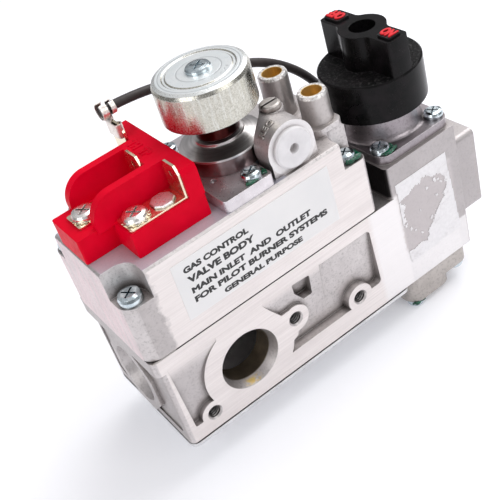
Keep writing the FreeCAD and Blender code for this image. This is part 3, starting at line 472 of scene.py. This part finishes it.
def sheet_metal(name, light, dark, roughness):
    """Plain plated sheet with soft scuffs."""
    look = Look(name, light, roughness, metallic=0.85)
    flecks = look.grain(0.7, detail=5, roughness=0.7)
    shade = look.blend(look.span(look.grain(5.0, detail=4), 0.3, 0.7), dark, light)
    shade = look.blend(look.span(flecks, 0.5, 0.7, 0.0, 0.3), shade, dark)
    # Painted highlight on edges, and painted shade in corners and recesses.
    shade = look.cover(shade, EDGE_HIGHLIGHT, look.edge_highlight(0.3), 0.7)
    look.colour(look.cover(shade, CREVICE_SHADE, look.crevice(1.0), 0.6))
    look.roughness(look.span(flecks, 0.3, 0.7, roughness - 0.06, roughness + 0.08))
    look.raise_by(flecks, 0.02)
    return look.done(0.2)


def plated(name, light, dark, roughness, contrast=1.0):
    """Bright plated screws and terminals, with painted shade in their recesses."""
    look = Look(name, light, roughness, metallic=1.0)
    shade = look.blend(look.span(look.grain(1.6, detail=4), 0.35, 0.7, 0.0, contrast), light, dark)
    # Painted shade: recesses darkened.
    look.colour(look.cover(shade, (0.25, 0.27, 0.30), look.crevice(0.8), 0.5))
    look.roughness(look.span(look.grain(0.8, detail=3), 0.3, 0.7, roughness, roughness + 0.1))
    look.raise_by(look.grain(0.3, detail=2), 0.004)
    return look.done(0.15)


DRUM_SHOULDER = {"z": (76.1, 79.7)}
DRUM_NECK = {"z": (79.75, 99)}


def drum_metal():
    """Turned drum in painted light: a dark red-brown painted reflection on the side, a bright painted
    highlight on the shoulder and collar, and a near-black painted reflection on the neck above.
    """
    look = Look("drum_metal", (0.4, 0.38, 0.37), 0.28, metallic=1.0)
    rings = look.grain(0.25, stretch=(50, 50, 1), detail=2)
    side = look.blend(look.span(look.grain(4.0), 0.3, 0.7), (0.24, 0.17, 0.17), (0.42, 0.34, 0.34))
    bright = look.blend(look.span(rings, 0.35, 0.65), (0.64, 0.61, 0.60), (0.84, 0.81, 0.80))
    neck = look.blend(look.span(look.grain(3.0), 0.3, 0.7), (0.035, 0.006, 0.006), (0.075, 0.016, 0.015))
    # Painted highlight on the shoulder and collar, painted reflection on the side and neck.
    shade = look.blend(look.zone(0.1, **DRUM_SHOULDER), side, bright)
    look.colour(look.blend(look.zone(0.1, **DRUM_NECK), shade, neck))
    look.raise_by(rings, 0.004)
    return look.done(0.25)


# ---- plastics, paper and paint --------------------------------------------------------------------
def plastic(name, colour, shade, roughness, texture=0.02, size=0.5, gloss=0.3):
    """Moulded plastic with a fine skin texture."""
    look = Look(name, colour, roughness, Specular_IOR_Level=gloss)
    look.colour(look.blend(look.span(look.grain(9.0, detail=3), 0.35, 0.7), colour, shade))
    look.roughness(look.span(look.grain(1.6, detail=4), 0.3, 0.7, roughness - 0.05, roughness + 0.08))
    look.raise_by(look.grain(size, detail=3), texture)
    return look.done(0.3)


KNOB_DECK = {"z": (70, 76.1)}


def knob_black():
    """Black plastic: sparkling grain on the drum's top, glossy everywhere else."""
    look = Look("knob_black", (0.004, 0.004, 0.004), 0.3, Specular_IOR_Level=0.13)
    grained = look.product(look.facing(UP, 0.9, 0.98), look.zone(0.3, **KNOB_DECK))
    crumbs = look.grain(0.9, detail=3, roughness=0.8)
    base = look.blend(look.span(look.grain(4.0), 0.4, 0.7), (0.003, 0.003, 0.003), (0.009, 0.007, 0.008))
    look.colour(look.cover(base, (0.055, 0.052, 0.052), grained, look.span(crumbs, 0.55, 0.62)))
    look.roughness(look.span(grained, 0, 1, 0.22, 0.45))
    look.raise_by(look.product(grained, crumbs), 0.5)
    look.raise_by(look.grain(0.8, detail=2), 0.006)
    return look.done(0.35)


def nylon_white():
    look = Look("nylon_white", (0.86, 0.86, 0.85), 0.42, Specular_IOR_Level=0.5, Subsurface_Weight=0.2)
    look.shader.inputs["Subsurface Radius"].default_value = (0.002, 0.002, 0.002)
    white = look.blend(look.span(look.grain(4.0), 0.4, 0.8), (0.80, 0.78, 0.79), (0.70, 0.68, 0.69))
    # Painted shade: corners and recesses darkened.
    look.colour(look.cover(white, (0.25, 0.22, 0.21), look.crevice(2.5), 0.7))
    look.raise_by(look.grain(0.8, detail=3), 0.02)
    return look.done(0.2)


def film_white():
    """Glossy label film, faintly rippled."""
    look = Look("film_white", (0.83, 0.84, 0.84), 0.28, Specular_IOR_Level=0.5)
    look.colour(look.blend(look.span(look.grain(14.0), 0.35, 0.7), (0.84, 0.825, 0.82), (0.80, 0.79, 0.79)))
    look.raise_by(look.grain(9.0, detail=1), 0.06)
    return look.done()


def paper_white():
    """Torn matt paper with grubby patches and loose fibres."""
    look = Look("paper_white", (0.8, 0.78, 0.77), 0.75, Specular_IOR_Level=0.3)
    dirt = look.span(look.grain(5.0, detail=6, roughness=0.7, distortion=0.5), 0.55, 0.72)
    clean = look.blend(look.span(look.grain(1.2, detail=4), 0.3, 0.7), (0.90, 0.88, 0.89), (0.82, 0.80, 0.81))
    look.colour(look.cover(clean, (0.55, 0.51, 0.51), dirt, 0.5))
    look.raise_by(look.grain(0.5, detail=5, roughness=0.7), 0.05)
    return look.done()


def ink_black():
    look = Look("ink_black", (0.02, 0.02, 0.02), 0.5)
    faded = look.span(look.grain(0.35, detail=3), 0.45, 0.75)
    look.colour(look.blend(faded, (0.015, 0.015, 0.015), (0.07, 0.07, 0.07)))
    return look.done()


def paint_green():
    """Thread-locking paint: a thick glossy green."""
    look = Look("paint_green", (0.0, 0.085, 0.045), 0.22, Coat_Weight=0.6)
    thin = look.span(look.grain(1.0, detail=4), 0.3, 0.75)
    look.colour(look.blend(thin, (0.0, 0.022, 0.014), (0.0, 0.16, 0.075)))
    look.raise_by(look.grain(1.1, detail=3), 0.15)
    return look.done()


LOOKS = {
    "cast_body": cast_body(),
    "cast_head": cast_head(),
    "cast_bonnet": cast_plain("cast_bonnet", (0.27, 0.24, 0.255), (0.44, 0.40, 0.42), 0.08),
    "cast_cover": cast_plain("cast_cover", (0.40, 0.365, 0.34), (0.57, 0.53, 0.50), 0.0),
    "steel_sheet": sheet_metal("steel_sheet", (0.78, 0.78, 0.78), (0.60, 0.60, 0.61), 0.32),
    "zinc_can": zinc_can(),
    "base_sheet": sheet_metal("base_sheet", (0.80, 0.76, 0.78), (0.64, 0.60, 0.62), 0.30),
    "screw_zinc": plated("screw_zinc", (0.72, 0.79, 0.82), (0.42, 0.50, 0.54), 0.16),
    "screw_bright": plated("screw_bright", (0.96, 0.94, 0.91), (0.80, 0.74, 0.68), 0.22, 0.8),
    "rivet": cast_plain("rivet", (0.62, 0.58, 0.64), (0.97, 0.97, 0.98), 0.10),
    "steel": plated("steel", (0.56, 0.55, 0.54), (0.40, 0.39, 0.38), 0.28),
    "thread": plated("thread", (0.34, 0.32, 0.31), (0.14, 0.13, 0.125), 0.3),
    "brass": plated("brass", (0.80, 0.55, 0.20), (0.58, 0.37, 0.12), 0.2, 0.6),
    "pale_brass": plated("pale_brass", (0.90, 0.80, 0.60), (0.80, 0.67, 0.46), 0.18, 0.5),
    "connector": cast_plain("connector", (0.78, 0.70, 0.64), (0.95, 0.89, 0.84), 0.1),
    "red": plastic("red_plastic", (0.78, 0.0, 0.022), (0.66, 0.0, 0.016), 0.40, 0.02, 0.8, 0.05),
    "rubber": plastic("rubber", (0.02, 0.018, 0.018), (0.04, 0.036, 0.034), 0.6, 0.04),
    "gasket": plastic("gasket", (0.36, 0.34, 0.33), (0.45, 0.43, 0.41), 0.7, 0.05),
    "sleeve": plastic("sleeve", (0.030, 0.024, 0.024), (0.055, 0.046, 0.045), 0.42, 0.03, 0.4),
    "letters": plastic("letter_red", (0.80, 0.02, 0.03), (0.66, 0.01, 0.02), 0.4),
    "pads": plastic("pad_black", (0.008, 0.007, 0.008), (0.015, 0.014, 0.014), 0.34),
    "knob": knob_black(),
    "drum": drum_metal(),
    "nylon": nylon_white(),
    "film": film_white(),
    "paper": paper_white(),
    "ink": ink_black(),
    "green": paint_green(),
}

# The look of every CAD node that is shown or hidden as it is.
NODE_LOOKS = {
    "cast_body": ("lower_body",),
    "cast_head": ("head_casting",),
    "cast_bonnet": ("bonnet",),
    "cast_cover": ("bottom_cover", "vent_screw"),
    "steel_sheet": ("bottom_plate", "inlet_screen"),
    "zinc_can": ("coil_can",),
    "base_sheet": ("operator_base",),
    "screw_zinc": ("head_screws", "bonnet_screws", "can_screw", "bottom_screws", "cover_screws",
                   "operator_base_screws", "knob_screw"),
    "screw_bright": ("terminal_screw_1", "terminal_screw_2", "terminal_screw_3"),
    "rivet": ("terminal_rivets",),
    "steel": ("main_valve_plate", "main_valve_spring", "regulator_spring", "pole_core", "armature",
              "armature_spring", "plug_spring", "cock_stem", "stem_clip", "knob_spring", "safety_spring",
              "safety_magnet", "regulator_disc"),
    "brass": ("nipple_screw_rear", "nipple_screw_front", "cock_plug", "regulator_adjuster", "coil_winding",
              "lead_gland"),
    "pale_brass": ("terminals",),
    "red": ("terminal_block",),
    "rubber": ("main_valve", "armature_seal", "safety_valve", "main_diaphragm", "coil_bobbin"),
    "gasket": ("bottom_gasket", "bonnet_gasket"),
    "pads": ("knob_letter_pads",),
    "knob": ("knob",),
    "drum": ("operator_neck",),
    "nylon": ("regulator_cap",),
    "film": ("front_label",),
}


def wear(piece, look):
    """Gives every material slot of a piece one look."""
    piece.data.materials.clear()
    piece.data.materials.append(LOOKS[look])


for look_name, node_names in NODE_LOOKS.items():
    for node_name in node_names:
        wear(frame["nodes"][node_name], look_name)


# ---- making pieces --------------------------------------------------------------------------------
def add_piece(name, data, look, body=HOUSING):
    """An object of a mesh or curve in frame metres, dressed and riding on a body."""
    piece = bpy.data.objects.new(name, data)
    bpy.context.collection.objects.link(piece)
    wear(piece, look)
    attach(piece, body)
    return piece


def mesh_from(name, points, faces, smooth=True):
    """A mesh of bench points."""
    mesh = bpy.data.meshes.new(name)
    mesh.from_pydata([at(*p) for p in points], [], faces)
    for face in mesh.polygons:
        face.use_smooth = smooth
    return mesh


def swept_faces(sections, count, loop=False):
    """Faces of a solid swept through sections of count points each, capped or closed into a loop."""
    faces = []
    for i in range(sections if loop else sections - 1):
        here, after = count * i, count * ((i + 1) % sections)
        for k in range(count):
            beside = (k + 1) % count
            faces.append((after + k, after + beside, here + beside, here + k))
    if not loop:
        last = count * (sections - 1)
        faces += [tuple(range(count)), tuple(range(last + count - 1, last - 1, -1))]
    return faces


def thicken(mesh, millimetres):
    """Turns an open sheet into a closed one."""
    shape = bmesh.new()
    shape.from_mesh(mesh)
    bmesh.ops.recalc_face_normals(shape, faces=shape.faces)
    shape.normal_update()
    sheet = shape.faces[:]
    offsets = {v: v.normal * (millimetres / 1000) for v in shape.verts}
    edges = [e for e in shape.edges if e.is_boundary]
    copies = {v: shape.verts.new(v.co + offsets[v]) for v in offsets}
    for face in sheet:
        shape.faces.new([copies[v] for v in reversed(face.verts)])
    for edge in edges:
        a, b = edge.verts
        shape.faces.new((a, b, copies[b], copies[a]))
    bmesh.ops.recalc_face_normals(shape, faces=shape.faces)
    shape.to_mesh(mesh)
    shape.free()


# ---- lead -----------------------------------------------------------------------------------------
LEAD_ROUTE = ((30.6, 40.0, 94.0), (39.5, 40.4, 93.3), (55.0, 40.8, 89.4), (74.0, 41.0, 84.8),
              (87.0, 41.0, 78.4), (98.0, 41.3, 68.0), (105.0, 41.9, 55.5), (108.0, 42.0, 43.6))
LEAD_Y, LEAD_Z = LEAD_ROUTE[0][1:]
LEAD_RADIUS = 0.0015                                    # metres
BARRELS = ((25.9, 2.4, 2.2), (29.2, 1.9, 1.6))          # x, radius and length of the two crimped barrels
CLIP_X, CLIP_Y, CLIP_Z = 28.75, 36.9, 85.3              # the middle of the clip's left roll, at its foot
TAB_Y = 39.45                                           # the middle of the rear tab
SHEET = 0.35
WIRE_ENDS = ((30.5, 1.45), (26.6, 1.45), (26.4, 1.16))  # x and radius along the lead's end


def round_lead(x, radius, angles):
    """Bench points round the lead's axis."""
    return [(x, LEAD_Y + radius * math.cos(a), LEAD_Z + radius * math.sin(a)) for a in angles]


def bands():
    """The flag connector's sheets, each as a run of bench points and the vector it is drawn along."""
    arc = [math.radians(-245 + 310 * i / 24) for i in range(25)]
    barrels = [(round_lead(x, radius, arc), (length, 0, 0)) for x, radius, length in BARRELS]
    spine = ([(26.1, 39.2, 91.9), (26.1, 40.0, 91.75), (26.1, 40.8, 91.9)], (4.6, 0, 0))
    neck = ([(28.9, 38.3, 91.9), (28.2, 38.3, 91.2), (27.7, 38.3, 90.2), (27.7, 38.3, 89.6)], (0, 2.6, 0))
    roll = [math.radians(180 + 250 * i / 10) for i in range(11)]
    left = [(CLIP_X + math.cos(a), CLIP_Y + math.sin(a), CLIP_Z) for a in reversed(roll)]
    right = [(x, 2 * TAB_Y - y, z) for x, y, z in reversed(left)]
    return barrels + [spine, neck, (left + right, (0, 0, 4.5))]


def connector():
    """Flag connector of rolled sheet that grips the lead and the rear tab."""
    points, faces = [], []
    for run, draw in bands():
        first = len(points)
        points += run + [tuple(Vector(p) + Vector(draw)) for p in run]
        count = len(run)
        faces += [(first + i, first + i + 1, first + count + i + 1, first + count + i)
                  for i in range(count - 1)]
    mesh = mesh_from("connector_sheets", points, faces)
    thicken(mesh, SHEET)
    mesh.set_sharp_from_angle(angle=math.radians(35))
    piece = add_piece("connector_sheets", mesh, "connector")
    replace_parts(piece, "lead_connector")
    return piece


def wire_end():
    """The lead's stripped end in the connector's first barrel."""
    count = 14
    angles = [2 * math.pi * i / count for i in range(count)]
    points = [point for x, radius in WIRE_ENDS for point in round_lead(x, radius, angles)]
    mesh = mesh_from("wire_end", points, swept_faces(len(WIRE_ENDS), count))
    mesh.set_sharp_from_angle(angle=math.radians(35))
    return add_piece("wire_end", mesh, "sleeve")


def lead(with_pieces):
    """The magnet's lead, from the flag connector down into the gland behind the cock."""
    curve = bpy.data.curves.new("lead_sleeve", "CURVE")
    curve.dimensions = "3D"
    curve.bevel_depth = LEAD_RADIUS
    curve.bevel_resolution = 5
    curve.use_fill_caps = True
    spline = curve.splines.new("NURBS")
    spline.points.add(len(LEAD_ROUTE) - 1)
    for point, place in zip(spline.points, LEAD_ROUTE):
        point.co = (*at(*place), 1)
    spline.order_u = 3
    spline.use_endpoint_u = True
    spline.resolution_u = 12
    piece = add_piece("lead_sleeve", curve, "sleeve")
    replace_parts(piece, "lead")


lead([connector(), wire_end(), frame["nodes"]["lead_gland"]])


# ---- lettering ------------------------------------------------------------------------------------
def lettering(name, text, origin, right, up, size, depth, look, body=HOUSING, bend=None):
    """Raised letters with their first baseline corner at origin; size is their width and height."""
    curve = bpy.data.curves.new(name, "FONT")
    curve.body = text
    curve.extrude = 0.5
    curve.bevel_depth = 0.055
    curve.bevel_resolution = 0
    curve.resolution_u = 4
    source = bpy.data.objects.new(name + "_source", curve)
    bpy.context.collection.objects.link(source)
    bpy.context.view_layer.update()
    mesh = bpy.data.meshes.new_from_object(source.evaluated_get(bpy.context.evaluated_depsgraph_get()))
    bpy.data.objects.remove(source)
    low = [min(v.co[i] for v in mesh.vertices) for i in range(3)]
    high = [max(v.co[i] for v in mesh.vertices) for i in range(3)]
    right, up = Vector(right), Vector(up)
    out = right.cross(up)
    for v in mesh.vertices:
        u, w, t = ((v.co[i] - low[i]) / (high[i] - low[i]) * reach for i, reach in enumerate((*size, depth)))
        place = Vector(origin) + right * u + up * w + out * t
        v.co = at(*(bend(place) if bend else place))
    return add_piece(name, mesh, look, body)


LABEL_LINES = (("GAS CONTROL", 17.9, 58.8, 40.7, 2.1), ("VALVE BODY", 18.2, 55.0, 41.9, 2.4),
               ("MAIN INLET  AND  OUTLET", 18.3, 51.2, 62.1, 2.1),
               ("FOR PILOT BURNER SYSTEMS", 18.2, 47.9, 67.7, 2.1),
               ("GENERAL PURPOSE", 27.6, 44.5, 57.0, 1.9))     # words, left end, foot, right end, height
LABEL_Y = -0.15
PAD_TOP = 87.7
BLOCK_TOP = 84.75
MARK_RADIUS = 8.15                                      # of the boss's round side


def label_text():
    for number, (text, x0, z, x1, height) in enumerate(LABEL_LINES, 1):
        lettering("label_line_%d" % number, text, (x0, LABEL_Y, z), (1, 0, 0), (0, 0, 1),
                  (x1 - x0, height), 0.03, "ink")


def knob_letters():
    """OFF and ON, back to back on the grip's pads."""
    lettering("knob_letters_off", "OFF", (108.9, 26.9, PAD_TOP), (0, 1, 0), (-1, 0, 0), (6.2, 4.0),
              0.45, "letters", "knob")
    lettering("knob_letters_on", "ON", (104.9, 8.3, PAD_TOP), (0, -1, 0), (1, 0, 0), (4.9, 4.0),
              0.45, "letters", "knob")


def over_boss(place):
    """Bends a flat place, whose z is its height above the skin, round the regulator's boss."""
    x0, z0 = REGULATOR[0], REGULATOR[2]
    angle = (place.x - x0) / MARK_RADIUS
    reach = MARK_RADIUS + place.z
    return x0 + reach * math.sin(angle), place.y, z0 + reach * math.cos(angle)


def moulded_marks():
    """Faint terminal names on the block's back wall, and the regulator's mark on its round boss."""
    lettering("terminal_names", "TH  TP", (27.2, 32.4, BLOCK_TOP), (0, -1, 0), (1, 0, 0), (11.0, 3.2),
              0.25, "red")
    lettering("regulator_mark", "REG", (REGULATOR[0] - 7.5, 5.0, 0), (1, 0, 0), (0, 1, 0), (6.0, 2.6),
              0.35, "cast_cover", bend=over_boss)


label_text()
knob_letters()
moulded_marks()


# ---- torn sticker ---------------------------------------------------------------------------------
STICKER = ((94.2, 41.3), (116.3, 41.6), (116.2, 35.0), (116.9, 28.0), (117.8, 14.0), (118.3, 9.0),
           (95.0, 8.6))
TORN = ((95.7, 35.2), (99.2, 35.4), (105.9, 37.4), (113.5, 34.6), (115.0, 28.6), (111.7, 24.4), (107.5, 21.0),
        (103.2, 13.4), (88.0, 13.2), (88.0, 22.0), (94.0, 22.5), (96.4, 28.7))
STICKER_Y = -0.03
PAPER = 0.1
TEAR_SEED = 3


def inside(point, outline):
    """Whether a point is inside a closed outline."""
    x, y = point
    odd = False
    for (x0, y0), (x1, y1) in zip(outline, outline[1:] + outline[:1]):
        if (y0 > y) != (y1 > y) and x < x0 + (y - y0) / (y1 - y0) * (x1 - x0):
            odd = not odd
    return odd


def torn_sticker():
    """Paper sticker with ragged edges, torn away in the middle."""
    noise.seed_set(TEAR_SEED)
    cell, columns, rows = 0.35, 74, 97
    left, low = 93.4, 8.2
    points = [(left + i * cell, STICKER_Y, low + j * cell)
              for j in range(rows + 1) for i in range(columns + 1)]
    faces = []
    for j in range(rows):
        for i in range(columns):
            x, z = left + (i + 0.5) * cell, low + (j + 0.5) * cell
            coarse = noise.noise_vector(Vector((x, z, 0)) * 0.45)
            shift = coarse + noise.noise_vector(Vector((x, z, 9)) * 1.6) * 0.5
            rough = (x + 1.3 * shift.x, z + 1.3 * shift.y)
            flake = noise.noise(Vector((x, z, 4)) * 0.55) > 0.5
            if inside((x, z), STICKER) and (not inside(rough, TORN) or flake):
                corner = j * (columns + 1) + i
                faces.append((corner, corner + 1, corner + columns + 2, corner + columns + 1))
    mesh = mesh_from("torn_sticker", points, faces, smooth=False)
    shape = bmesh.new()
    shape.from_mesh(mesh)
    bmesh.ops.delete(shape, geom=[v for v in shape.verts if not v.link_faces], context="VERTS")
    shape.to_mesh(mesh)
    shape.free()
    thicken(mesh, PAPER)
    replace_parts(add_piece("torn_sticker", mesh, "paper"), "paper_sticker")


torn_sticker()


# ---- threads and paint ----------------------------------------------------------------------------
def thread(name, x, z):
    """Thread inside a tapped hole of the front face."""
    radius, pitch, depth, length, steps = 2.12, 0.9, 0.36, 5.8, 28
    first_crest = 0.7
    profile = ((radius, -0.42), (radius - depth, -0.06), (radius - depth, 0.06), (radius, 0.42))
    sections = int(length / pitch * steps) + 1
    points = []
    for i in range(sections):
        angle = 2 * math.pi * i / steps
        y = first_crest + pitch * i / steps
        points += [(x + r * math.cos(angle), y + shift * pitch, z + r * math.sin(angle))
                   for r, shift in profile]
    mesh = mesh_from(name, points, swept_faces(sections, len(profile)))
    mesh.set_sharp_from_angle(angle=math.radians(80))
    add_piece(name, mesh, "thread")


def paint_blob(name, place, radii):
    """A dab of thread-locking paint against a screw head."""
    shape = bmesh.new()
    bmesh.ops.create_icosphere(shape, subdivisions=4, radius=1.0)
    for v in shape.verts:
        lump = 1 + 0.4 * noise.noise(v.co * 1.8 + Vector(place))
        v.co = at(*(place[k] + v.co[k] * radii[k] * lump for k in range(3)))
    mesh = bpy.data.meshes.new(name)
    shape.to_mesh(mesh)
    shape.free()
    for face in mesh.polygons:
        face.use_smooth = True
    add_piece(name, mesh, "green")


def coils():
    """Springs as pieces of their own, copied from the joints' deforming nodes."""
    for joint in frame["record"]["behaviour"]["joints"]:
        for entry in joint.get("deforming_nodes", []):
            name = entry["node"]
            piece = add_piece(name + "_coil", frame["nodes"][name].data.copy(), "steel")
            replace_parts(piece, name)
            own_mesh(piece)


def star_washer(number):
    """Toothed lock washer between a terminal screw's head and the strip."""
    screw = "terminal_screw_%d" % number
    low, high = (Vector(corner) * 1000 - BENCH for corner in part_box(screw))
    centre, head = (low + high) / 2, (high.x - low.x) / 2
    rim, under_head, sheet, teeth = head - 1, high.z - 2.15, 0.3, 18
    points = []
    for i in range(2 * teeth):
        angle = math.pi * i / teeth
        reach, twist = (head + 0.6, 0.06) if i % 2 else (head + 0.15, -0.04)
        for r, z in ((rim, under_head), (reach, under_head + twist), (reach, under_head + sheet + twist),
                     (rim, under_head + sheet)):
            points.append((centre.x + r * math.cos(angle), centre.y + r * math.sin(angle), z))
    mesh = mesh_from("star_washer", points, swept_faces(2 * teeth, 4, loop=True), smooth=False)
    add_piece("star_washer_%d" % number, mesh, "pale_brass", screw)


def parting_lip():
    """Rough lip of the lower casting that nearly closes the parting line at its outlet corner."""
    left, length, foot, back, steps = -1.2, 8.4, 36.95, 0.6, 24
    points = []
    for i in range(steps + 1):
        x = left + length * i / steps
        top = 37.34 + 0.1 * noise.noise(Vector((x, 3, 5)) * 0.9)
        front = 0.06 + 0.06 * noise.noise(Vector((x, 8, 1)) * 0.7)
        points += [(x, front, foot), (x, front, top - 0.08), (x, front + 0.08, top), (x, back, top),
                   (x, back, foot)]
    mesh = mesh_from("parting_lip", points, swept_faces(steps + 1, 5), smooth=False)
    add_piece("parting_lip", mesh, "cast_cover")


# Each dab's place and its radii.
BLOBS = (((82.4, 1.9, 58.9), (3.1, 1.5, 1.1)), ((84.2, 3.6, 58.7), (1.2, 2.2, 0.9)),
         ((96.6, 2.9, 52.7), (3.0, 1.3, 0.8)), ((98.6, 4.6, 52.5), (1.0, 2.1, 0.6)),
         ((48.0, 2.2, 71.7), (2.6, 1.0, 0.5)), ((52.4, 4.0, 71.6), (1.2, 2.0, 0.4)),
         ((88.0, 2.4, -2.2), (2.8, 1.4, 0.9)), ((96.6, 2.2, -11.5), (2.9, 1.3, 0.9)))

for number, (place, radii) in enumerate(BLOBS, 1):
    paint_blob("paint_dab_%d" % number, place, radii)
for number, (x, z) in enumerate(TAPS, 1):
    thread("tap_thread_%d" % number, x, z)
for number in (1, 2, 3):
    star_washer(number)
coils()
parting_lip()


# ---- stage ----------------------------------------------------------------------------------------
def area_light(name, place, size, power):
    data = bpy.data.lights.new(name, "AREA")
    data.energy = power
    data.size = size
    light = bpy.data.objects.new(name, data)
    light.location = place
    light.rotation_euler = (Vector(LIT) - Vector(place)).to_track_quat("-Z", "Y").to_euler()
    bpy.context.collection.objects.link(light)


def make_sky(horizon, zenith):
    """A plain grey studio, darker towards the horizon."""
    world = bpy.data.worlds.new("studio")
    bpy.context.scene.world = world
    world.use_nodes = True
    nodes = world.node_tree.nodes
    links = world.node_tree.links
    direction = nodes.new("ShaderNodeTexCoord")
    parts = nodes.new("ShaderNodeSeparateXYZ")
    links.new(direction.outputs["Generated"], parts.inputs[0])
    rise = nodes.new("ShaderNodeMapRange")
    for socket, number in zip(rise.inputs[1:5], (0.0, 0.8, horizon, zenith)):
        socket.default_value = number
    links.new(parts.outputs["Z"], rise.inputs[0])
    background = nodes["Background"]
    background.inputs["Color"].default_value = (0.97, 0.97, 1.0, 1)
    links.new(rise.outputs[0], background.inputs["Strength"])


LIT = (-0.06, 0.0, 0.02)                                # the point that the lights are aimed at
LIGHTS = (("top_softbox", (0.45, 0.12, 0.68), 0.8, 5.6), ("left_softbox", (-0.80, -0.25, 0.45), 0.5, 2.0),
          ("front_fill", (0.25, -0.85, 0.55), 0.6, 2.3))     # name, place, size and power
SKY_HORIZON, SKY_ZENITH = 0.16, 0.62
FLOOR_HALF = 4.0


def floor_white():
    look = Look("floor_white", (0.86, 0.86, 0.88), 0.6, Specular_IOR_Level=0.2, Emission_Strength=0.2)
    look.shader.inputs["Emission Color"].default_value = (0.95, 0.95, 1, 1)
    look.colour(look.blend(look.grain(200.0), (0.87, 0.87, 0.89), (0.85, 0.85, 0.875)))
    return look.done()


def make_floor(z, half=FLOOR_HALF):
    mesh = bpy.data.meshes.new("floor")
    corners = [(-half, -half, z), (half, -half, z), (half, half, z), (-half, half, z)]
    mesh.from_pydata(corners, [], [(0, 1, 2, 3)])
    mesh.materials.append(floor_white())
    floor = bpy.data.objects.new("floor", mesh)
    bpy.context.collection.objects.link(floor)


def make_stage():
    low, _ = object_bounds()
    make_floor(low[2])
    for name, place, size, power in LIGHTS:
        area_light(name, place, size, power)
    make_sky(SKY_HORIZON, SKY_ZENITH)
    bpy.context.scene.view_settings.view_transform = "Standard"


make_stage()
